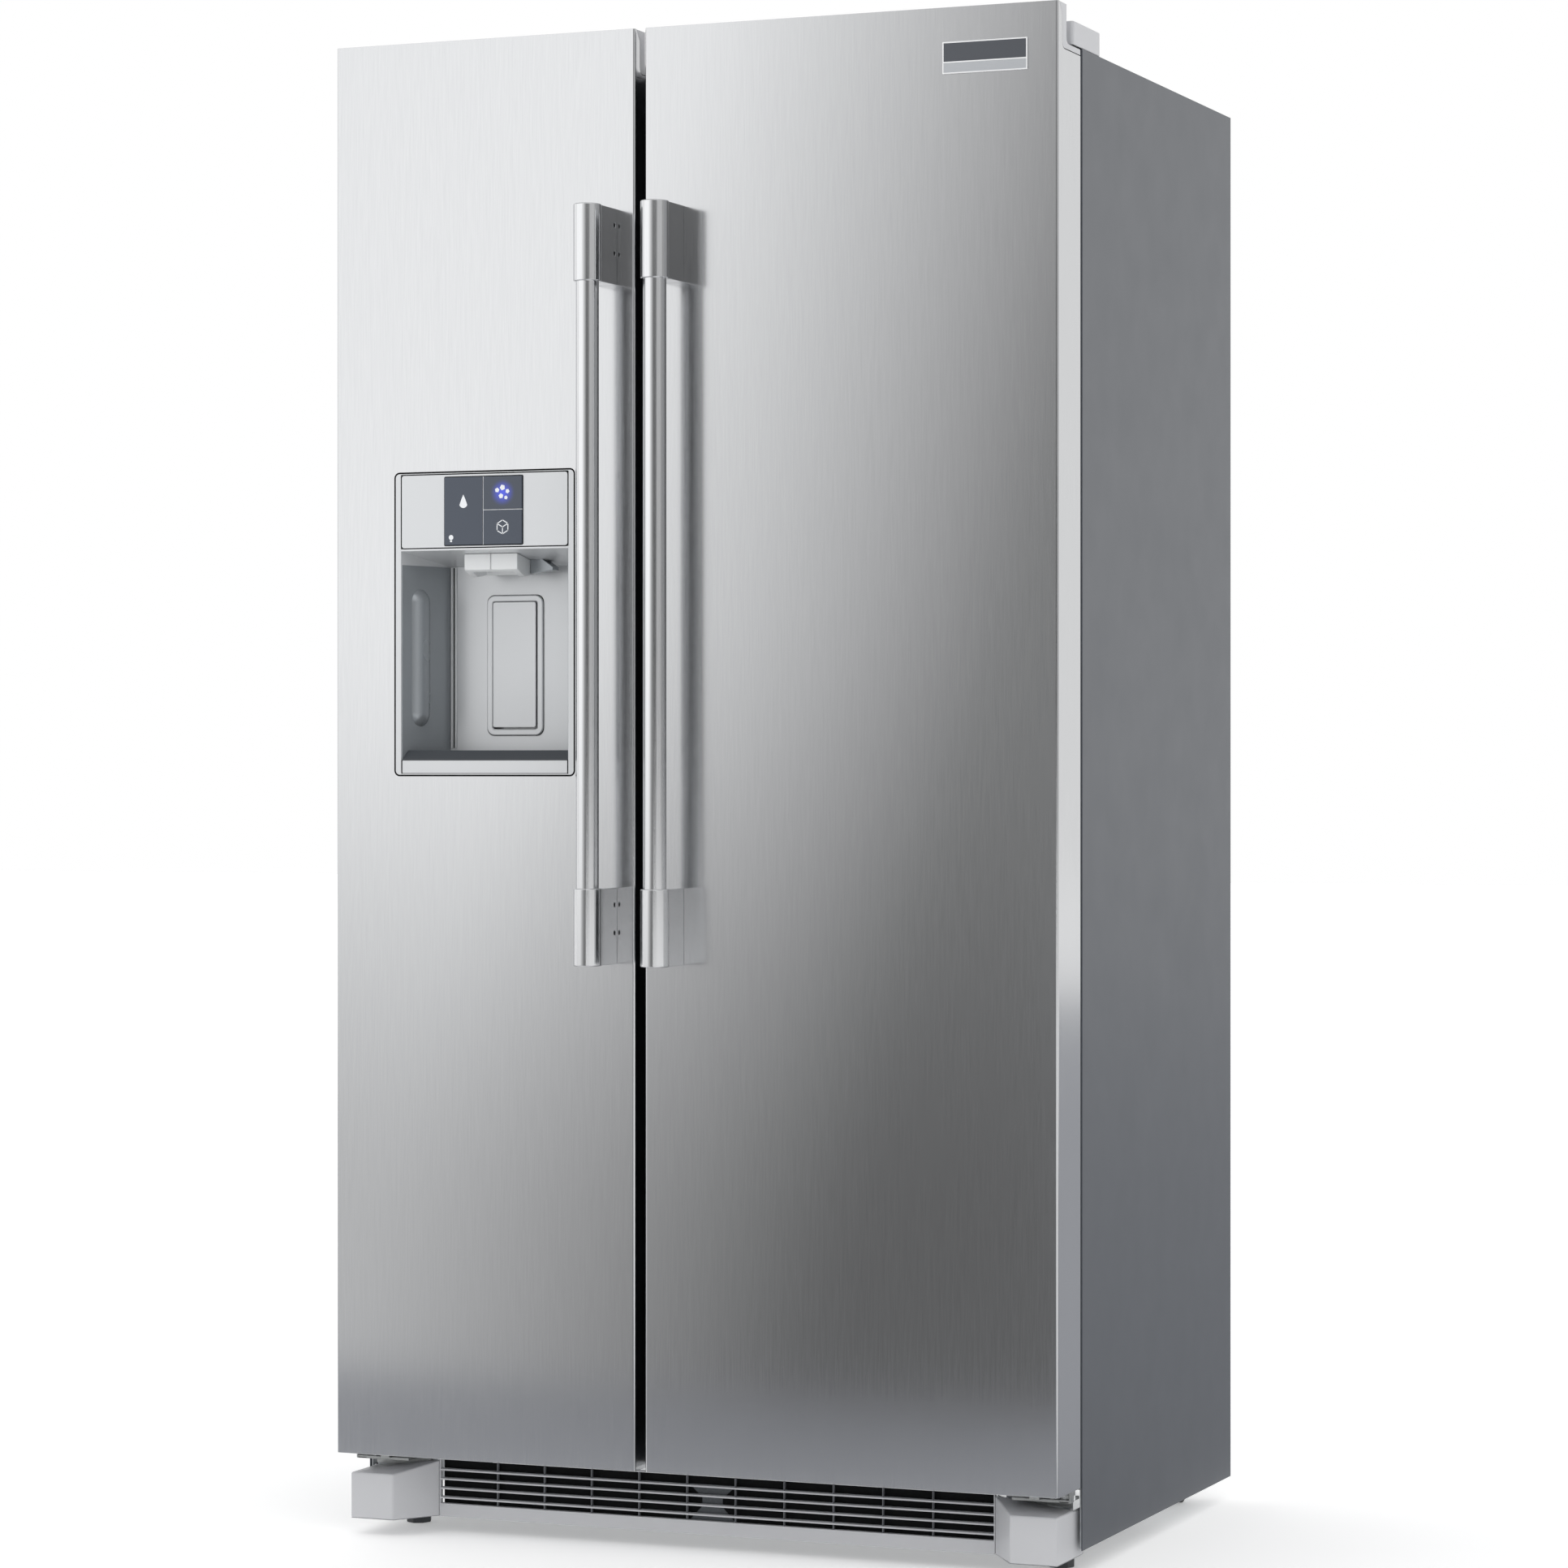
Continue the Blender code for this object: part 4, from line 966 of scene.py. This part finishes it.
fascia()
key("water_key", slate_abs)
key("crush_key", lit_key)
face = outlet_y[0]
for name, x, z in (
    ("upright", (-0.26140, -0.26060), (1.1890, 1.2695)),
    ("level", (-0.26050, -0.21000), (1.22960, 1.23040)),
):
    line = block(x, (face - 1.2 * MM, face + 4 * MM), z)
    trim(line, "key_divider_" + name, line_white, "dispenser_fascia")
key("cube_key", slate_abs)
water_x, _, water_z = reach("water_key")
crush_x, _, crush_z = reach("crush_key")
cube_x, _, cube_z = reach("cube_key")
drop_at = (middle(water_x), middle(water_z) + 9 * MM)
printed(drop(drop_at, 5.5 * MM), "water_key", "icon_drop", line_white)
lamp_x, lamp_z = water_x[0] + 9 * MM, water_z[0] + 9 * MM
printed(circle((lamp_x, lamp_z), 3 * MM, 24), "water_key", "icon_lamp_glass", line_white)
foot_span = around(lamp_x, 1.4 * MM)
lamp_foot = rounded(foot_span, (lamp_z - 5.4 * MM, lamp_z - 3.4 * MM), 0.4 * MM)
printed(lamp_foot, "water_key", "icon_lamp_foot", line_white)
CHIPS = ((-7, 3, 3.0, 10), (0, 6, 3.6, 40), (6.5, 1.5, 2.8, 65), (-2, -4, 3.2, 25), (4.5, -6, 2.4, 80))
for i, (dx, dz, size, turn) in enumerate(CHIPS):
    at = (middle(crush_x) + dx * MM, middle(crush_z) + dz * MM)
    chip = arc(at, size * MM, turn, turn + 288, 4)
    printed(chip, "crush_key", "icon_chip_%d" % i, line_white)
cube_at = (middle(cube_x), middle(cube_z))
HEX = arc((0, 0), 8.2 * MM, 30, 330, 5)
STROKE = 0.55 * MM


def stroke(a, b):
    """A thin line from a to b, as a four-cornered outline."""
    along = Vector((b[0] - a[0], b[1] - a[1])).normalized() * STROKE
    side = Vector((-along.y, along.x))
    start, stop = Vector(a) - along, Vector(b) + along
    return [tuple(p) for p in (start + side, start - side, stop - side, stop + side)]


lines = [(HEX[i], HEX[(i + 1) % 6]) for i in range(6)] + [((0, 0), HEX[i]) for i in (0, 2, 4)]
for i, (a, b) in enumerate(lines):
    ends = [(cube_at[0] + p[0], cube_at[1] + p[1]) for p in (a, b)]
    printed(stroke(*ends), "cube_key", "icon_cube_line_%d" % i, line_white)
print("keys ready, with", len(lines), "cube lines")


# %% [markdown]
# ### Chute, paddle and drip tray
# The chute and the tray are CAD pieces whose shape is right, so only their edges are rounded. The
# grate over the basin is one bar, repeated by the row tree, on two cross rails.

# %% Chute, paddle and drip tray
def chute():
    x, y, z = reach("ice_chute")
    seam = block(about(0.25 * MM), (y[0] - 1 * MM, y[0] + 0.5 * MM), grown(z, 1 * MM))
    body = cut(copy_of("ice_chute"), seam)
    hand_over(softened(body, 1.2 * MM, 3), "ice_chute_nozzle", white_abs, "ice_chute")
    root = x[1] + 0.5 * MM
    slope = [(root, 1.1785), (root, 1.1560), (root + 30 * MM, 1.1600), (root + 30 * MM, 1.1635)]
    slope.append((root + 8 * MM, 1.1785))
    wing = prism(slope, "Y", -0.252, -0.235)
    # The wing takes the well lining's darker grey, which is painted shade under the well's ceiling.
    trim(softened(wing, 0.5 * MM), "chute_wing", well_shade_abs, "ice_chute")


def paddle():
    x, y, z = reach("dispenser_paddle")
    flat = plate(x, (y[0] + 0.1 * MM, y[0] + 3.1 * MM), z, 2.5 * MM)
    barrel = rod("X", (y[0] + 3.5 * MM, 1.12), 3.0 * MM, *grown(x, -0.6 * MM), 32)
    face = joined(softened(flat, 0.4 * MM), softened(barrel, 0.4 * MM))
    return hand_over(face, "paddle_face", silver_abs, "dispenser_paddle")


def drip_tray():
    node = "drip_tray"
    x, y, z = reach(node)
    dish = softened(copy_of(node), 0.8 * MM, 2)
    hand_over(dish, "drip_tray_dish", tray_slate, node)
    height = (z[0] + 0.2 * MM, z[0] + 15.5 * MM)
    lip = plate(grown(x, -0.6 * MM), (y[0] - 0.1 * MM, y[0] + 3 * MM), height, 1 * MM, 3)
    trim(softened(lip, 0.5 * MM), "drip_tray_front", silver_abs, node)
    for side in (-1, 1):
        edge = CENTRE_X + side * ((x[1] - x[0]) / 2 - 0.4 * MM)
        depth, height = (y[0] - 0.35 * MM, y[0] + 1 * MM), (z[0] - 1 * MM, z[0] + 15.5 * MM)
        line = block(around(edge, 0.5 * MM), depth, height)
        name = "drip_tray_seam_%s" % ("left" if side < 0 else "right")
        trim(line, name, joint_and_shade_black, "dispenser_fascia")
    return x, y, z


def grate(x, y, z):
    """Bars over the basin: one bar repeated across, on two cross rails."""
    depth, height = (y[0] + 14 * MM, y[1] - 8 * MM), (z[1] - 4 * MM, z[1] - 1.5 * MM)
    bar = block((x[0] + 30 * MM, x[0] + 32 * MM), depth, height)
    bars = row(softened(bar, 0.4 * MM, 1), 27, (6 * MM, 0, 0), tray_slate)
    width, below = grown(x, -26 * MM), (z[1] - 5 * MM, z[1] - 3 * MM)
    rails = [block(width, (at, at + 2 * MM), below) for at in (y[0] + 24 * MM, y[1] - 20 * MM)]
    return trim(shaded(joined(bars, *rails)), "drip_tray_grate", tray_slate, "drip_tray")


chute()
paddle()
grate(*drip_tray())
print("chute, paddle and tray ready")

# %% [markdown]
# ## Grille, feet and hinges
# Below the doors a slatted grille lets air to the condenser, between two covers over the levelling
# legs. The grille's slats repeat, so one slat and one rib go through the row tree.

# %% Toe grille
SLAT_LOW, SLAT_HIGH, SLAT_COUNT = 0.0423, 0.0760, 4
RIB_START, RIB_STEP, RIB_COUNT = -0.2790, 0.062, 10


def toe_grille():
    node = "toe_grille"
    x, y, z = reach(node)
    height = (z[0] + 16 * MM, z[1] - 1.5 * MM)
    opening = plate(grown(x, -1.5 * MM), (-1, 1), height, 0.7 * MM, 3)
    border = cut(plate(x, y, z, 2 * MM, 3), opening)
    hand_over(softened(border, 0.6 * MM), "grille_border", grey_abs, node)
    front, back = y[0] + 0.3 * MM, y[1] - 0.4 * MM
    profile = [(front, -1.1 * MM), (front, 0.9 * MM), (back, 1.6 * MM), (back, 0)]
    slat = prism(profile, "X", *grown(x, -1 * MM))
    slat.data.transform(Matrix.Translation((0, 0, SLAT_LOW)))
    pitch = (SLAT_HIGH - SLAT_LOW) / (SLAT_COUNT - 1)
    slats = row(softened(slat, 0.35 * MM), SLAT_COUNT, (0, 0, pitch), grey_abs)
    trim(shaded(slats), "grille_slats", grey_abs, node)
    # The ribs' darker grey is painted shade behind the slats.
    depth, height = (y[0] + 1.6 * MM, y[1] - 0.3 * MM), (z[0] + 10 * MM, z[1] - 1 * MM)
    rib = block(around(RIB_START, 0.5 * MM), depth, height)
    ribs = row(softened(rib, 0.2 * MM), RIB_COUNT, (RIB_STEP, 0, 0), rib_abs)
    trim(shaded(ribs), "grille_ribs", rib_abs, node)
    # A black sheet behind the grille's opening: painted shade in the space behind the slats.
    depth, height = (y[1] + 0.5 * MM, y[1] + 1.5 * MM), (z[0] + 4 * MM, z[1] - 3 * MM)
    screen = block(grown(x, -3 * MM), depth, height)
    trim(screen, "grille_shadow_screen", joint_and_shade_black, node)


def hourglass():
    """The pressed bracket that stands behind the middle of the grille."""
    waist, foot, y = 13 * MM, 34 * MM, reach("toe_grille")[1]
    right = [(foot, 0.024), (foot - 6 * MM, 0.036), (waist, 0.052), (waist, 0.062), (foot - 4 * MM, 0.078)]
    outline = right + [(-a, b) for a, b in reversed(right)]
    sheet = prism(outline, "Y", y[1] + 0.05 * MM, y[1] + 0.45 * MM)
    return trim(sheet, "grille_bracket", dark_zinc, "toe_grille")


toe_grille()
hourglass()
print("toe grille ready")

# %% [markdown]
# ### Foot covers and hinges
# These mouldings and pressings need no new shape. A Bevel gives each its moulded or pressed radius.

# %% Foot covers, hinges and hinge covers
for side in ("left", "right"):
    refined("foot_cover_" + side, grey_abs, 2.2 * MM, 4)
    refined("hinge_cover_" + side, grey_abs, 1.2 * MM, 3)
    refined("top_hinge_" + side, zinc_plate, 0.15 * MM)
    refined("bottom_hinge_" + side, zinc_plate, 0.4 * MM)
print("foot covers and hinges ready")


# %% [markdown]
# ### Small parts of the lower hinge
# A lower hinge lifts the door a little as it opens, by a nylon cam under the door. The cam is turned
# about the pin, and the hook, stop and bolt head are small blocks that sit in the gap under the door.

# %% The hinge's cam, hook and stop
def hinge_details(side, sign):
    """The riser cam under the door, the hooked tab and the stop block in the gap above the foot cover."""
    node = "bottom_hinge_" + side
    x = reach(node)[0]
    inner, outer = 5.9 * MM, 9 * MM
    profile = [(inner, 0.0895), (outer, 0.0895), (outer, 0.0950), (7 * MM, 0.0985), (inner, 0.0985)]
    cam = turned(profile, (sign * PIN_X, PIN_Y), 40)
    trim(shaded(cam, 30), node + "_cam", white_abs, node)
    stop = block(sorted((sign * 0.408, sign * 0.420)), (-0.262, -0.250), (0.0905, 0.1003))
    trim(softened(stop, 0.8 * MM), node + "_stop", zinc_plate, node)
    edge = x[1] if sign > 0 else x[0]
    hook = block(sorted((edge, edge - sign * 1.8 * MM)), (-0.2560, -0.2440), (0.0885, 0.1000))
    tab = block(sorted((edge, edge - sign * 14 * MM)), (-0.2560, -0.2440), (0.0880, 0.0900))
    trim(softened(fuse(hook, tab), 0.5 * MM), node + "_hook", zinc_plate, node)
    post = rod("Z", (sign * 0.432, -0.250), 4.5 * MM, 0.0880, 0.0975, 6)
    trim(softened(post, 0.5 * MM), node + "_bolt_head", zinc_plate, node)


for side, sign in (("left", -1), ("right", 1)):
    hinge_details(side, sign)
print("hinge details ready")

# %% [markdown]
# ## The cabinet
# One folded steel wrapper makes both sides and the top, with a small radius at each fold. The back
# holds a galvanised panel with pressed stiffening ribs, and below it a louvred cover over the machinery.


# %% Wrapper, deck and foam
def wrapper():
    node = "cabinet_wrapper"
    shell = softened(copy_of(node), 0.6 * MM, 3)
    return hand_over(shell, "painted_wrapper", side_paint, node)


wrapper()
refined("base_deck", galvanised, 0.5 * MM)
for node, finish in (("cabinet_insulation", foam), ("evaporator", zinc_plate)):
    part = frame["nodes"][node]
    for holder in part.material_slots:
        holder.material = finish
print("cabinet ready")


# %% [markdown]
# ### The back
# Three long beads stiffen the panel. Each is a block with wide round edges, fused half sunk into the
# sheet. The screws down both sides are one hexagon head, repeated by the row tree.

# %% Rear panel and machinery cover
def screw_head():
    """A hexagon head with its washer, lying along +Y with its seat at the origin."""
    washer = rod("Y", (0, 0), 6 * MM, -0.5 * MM, 0.3 * MM, 24)
    return joined(washer, rod("Y", (0, 0), 3.6 * MM, 0.2 * MM, 1.4 * MM, 6))


def rear_panel():
    node = "rear_panel"
    x, y, z = reach(node)
    beads = []
    for i in range(3):
        height = z[0] + (i + 0.5) * (z[1] - z[0]) / 3
        depth = (y[1] - 1.2 * MM, y[1] + 1.5 * MM)
        bead = plate(grown(x, -60 * MM), depth, around(height, 13 * MM), 12.9 * MM)
        beads.append(softened(bead, 1.1 * MM, 4))
    hand_over(shaded(fuse(copy_of(node), *beads)), "rear_panel_ribbed", galvanised, node)
    screws = []
    for side in (-1, 1):
        head = screw_head()
        head.data.transform(Matrix.Translation((side * (x[1] - 14 * MM), y[1], z[0] + 0.06)))
        screws.append(row(head, 8, (0, 0, (z[1] - z[0] - 0.12) / 7), dark_zinc))
    trim(shaded(joined(*screws)), "rear_panel_screws", dark_zinc, node)


rear_panel()
refined("rear_access_cover", galvanised, 0.4 * MM)
access = reach("rear_access_cover")
hole, flange = 5 * MM, 9 * MM
profile = [(hole, 0), (flange, 0), (flange, 0.4 * MM), (7.5 * MM, 0.9 * MM), (hole, 0.9 * MM)]
gland = turned(profile, (0, 0), 40)
gland.data.transform(Matrix.Rotation(math.radians(-90), 4, "X"))
gland.data.transform(Matrix.Translation((-0.400, 0.3738, 0.065)))
trim(shaded(gland), "mains_gland_ring", joint_and_shade_black, "rear_access_cover")
print("back ready", [round(v, 4) for v in access[1]])

# %% [markdown]
# ## Machinery, legs and rollers
# Behind the louvres sit a black enamelled compressor and a wire-on-tube condenser coil.

# %% Compressor, coil, legs and rollers
def levelling_leg(node):
    """A zinc-plated screw with a moulded eight-sided foot."""
    x, y, z = reach(node)
    screw = cut(copy_of(node), block(SIDES, (-0.5, 0.5), (-0.01, 0.012)))
    hand_over(softened(screw, 0.5 * MM), node + "_screw", zinc_plate, node)
    foot = rod("Z", (middle(x), middle(y)), 15.8 * MM, z[0], 0.0119, 8)
    trim(softened(foot, 1.2 * MM), node + "_foot", dark_grey_abs, node)


refined("compressor", compressor_enamel, 6 * MM, 5)
refined("condenser_coil", copper_tube, 0.4 * MM, 1)
for side in ("left", "right"):
    levelling_leg("front_leg_" + side)
    refined("rear_roller_" + side, roller_rubber, 1.2 * MM, 3)
print("machinery ready")

# %% [markdown]
# ## Inside the cabinet
# The two liners are vacuum-formed in one piece each, so every corner has a radius. Glass shelves with
# white trims, clear drawers and the ice maker hang on them.


# %% Liners and evaporator cover
for node in ("freezer_liner", "fridge_liner"):
    refined(node, white_hips, 1.0 * MM)
refined("evaporator_cover", white_hips, 1.0 * MM, 3)
refined("ice_maker", white_abs, 0.8 * MM)
print("liners ready")


# %% [markdown]
# ### Shelves, drawers and bins
# A shelf is a glass pane in a moulded rim, so the CAD plate is made again as those two pieces. Drawers
# and bins keep their shape and get round edges, narrower than half their 3 mm walls.

# %% Shelves, drawers and bins
SHELVES = ("freezer_shelf_upper", "freezer_shelf_lower", "fridge_shelf_upper", "fridge_shelf_middle")
TRAYS = ("freezer_basket", "crisper_upper", "crisper_lower", "freezer_door_bin", "fridge_door_bin_upper")
TRAYS += ("fridge_door_bin_middle", "fridge_door_bin_lower")


def shelf(node):
    x, y, z = reach(node)
    pane_z = (z[0] + 7 * MM, z[0] + 11 * MM)
    pane = block(grown(x, -9 * MM), (y[0] + 12 * MM, y[1] - 9 * MM), pane_z)
    edge = block(x, y, z)
    room = block(grown(x, -11 * MM), (y[0] + 14 * MM, y[1] - 11 * MM), grown(z, 1 * MM))
    groove = block(grown(x, -8.8 * MM), (y[0] + 11.8 * MM, y[1] - 8.8 * MM), pane_z)
    hand_over(softened(cut(edge, room, groove), 1.5 * MM, 3), node + "_trim", white_abs, node)
    trim(softened(pane, 0.8 * MM), node + "_glass", shelf_glass, node)


for node in SHELVES + ("crisper_cover",):
    shelf(node)
for node in TRAYS:
    refined(node, clear_styrene, 1.2 * MM, 3)
refined("ice_bin", white_abs, 1.0 * MM)
refined("dairy_lid", clear_styrene, 0.7 * MM)
print("shelves, drawers and bins ready")


# %% [markdown]
# ### The ceiling lamp
# A flat diffuser with round corners lies under the fresh-food ceiling and glows.

# %% The ceiling lamp
def lamp(name, x):
    cover = prism(rounded(x, (0.020, 0.110), 8 * MM), "Z", 1.6935, 1.6990)
    return trim(softened(cover, 1.5 * MM, 3), name, lamp_cover, "fridge_liner")


lamp("fridge_ceiling_lamp", (0.150, 0.240))
print("lamp ready")

# %% [markdown]
# ## Studio
# Steel shows what stands around it. A large soft panel stands close by at the front left, brightest in
# its upper part and fading to the right and downwards, so the doors grade from light at the left and
# top to dark at the right and bottom. The air is white behind the object and dim in front of it. Two
# grey mats on the floor are seen only in reflections, and darken the lower part of the steel.


# %% Floor and air
def staged(piece, name, material):
    piece.name = piece.data.name = name
    piece.data.materials.clear()
    piece.data.materials.append(material)
    return piece


floor_finish, _, floor_shader = new_finish("studio_floor", "#f4f4f4", 0.8)
glow(floor_shader, "#ffffff", 0.30)
staged(block((-30, 30), (-30, 30), (-0.02, -0.0005)), "studio_floor", floor_finish)
mat_finish, _, _ = new_finish("studio_grey_mat", "#b2b4ba", 0.9)
front_mat = staged(block((-9.0, 0.9), (-14.0, -0.75), (-0.0004, 0.001)), "front_mat", mat_finish)
right_mat = staged(block((0.50, 6.0), (-0.7, 12.0), (-0.0004, 0.001)), "right_mat", mat_finish)
for mat in (front_mat, right_mat):
    mat.visible_camera = mat.visible_shadow = mat.visible_diffuse = False


FRONT_AIR = 0.12
# Each lamp: its direction, the cosines where it starts and is full, and its strength.
AIR_LAMPS = (
    ((0.30, -0.64, 0.707), 0.80, 0.97, 0.85),
    ((0.906, -0.423, 0.0), 0.85, 0.96, 0.42),
    ((-0.985, -0.174, 0.0), 0.85, 0.96, 0.9),
)


def studio_air():
    """The world's light by direction: dim in front (-Y), white behind, brighter overhead."""
    world = bpy.data.worlds.new("studio_air")
    world.use_nodes = True
    tree = world.node_tree
    way = parts_of(tree, "Generated")
    behind = ramp(tree, way["Y"], -0.1, 0.6, 0.0, 1.0, smooth=True)
    above = ramp(tree, way["Z"], 0.0, 0.35, 0.0, 0.5, smooth=True)
    level = ramp(tree, maths(tree, "ADD", behind, above), 0.0, 1.0, FRONT_AIR, 1.0)
    place = add(tree, "TexCoord")
    for centre, edge, core, power in AIR_LAMPS:
        facing = {"operation": "DOT_PRODUCT", 1: centre}
        toward = add(tree, "VectorMath", facing, {0: place.outputs["Generated"]}).outputs["Value"]
        level = maths(tree, "ADD", level, ramp(tree, toward, edge, core, 0.0, power, smooth=True))
    air = tree.nodes["Background"]
    air.inputs["Color"].default_value = linear("#ffffff")
    tree.links.new(level, air.inputs["Strength"])
    bpy.context.scene.world = world


studio_air()
bpy.context.scene.view_settings.view_transform = "Standard"
print("floor and air ready")


# %% [markdown]
# ### The soft panel
# One slab glows, strongest at its upper left. Like the mats, it is seen in reflections but not by the
# camera, so it never stands between the object and a view.

# %% The soft panel at the front left
PANEL_LEVEL = 1.36


def soft_panel():
    """A glowing panel that fades to its right edge and downwards."""
    material, tree, shader = new_finish("soft_panel_light", "#000000", 1.0)
    shader.inputs["Emission Color"].default_value = linear("#ffffff")
    place = parts_of(tree, "Object")
    slanted = maths(tree, "ADD", place["X"], maths(tree, "MULTIPLY", place["Z"], -0.3))
    across = ramp(tree, slanted, -0.35, -1.10, 0.22, 1.0)
    upwards = ramp(tree, place["Z"], 0.2, 1.2, 0.56, 1.0, smooth=True)
    power = maths(tree, "MULTIPLY", maths(tree, "MULTIPLY", across, upwards), PANEL_LEVEL)
    tree.links.new(power, shader.inputs["Emission Strength"])
    panel = staged(block((-3.0, 0.15), (-1.52, -1.50), (0.02, 2.9)), "front_left_panel", material)
    panel.visible_camera = panel.visible_shadow = False
    return panel


soft_panel()
print("panel ready")
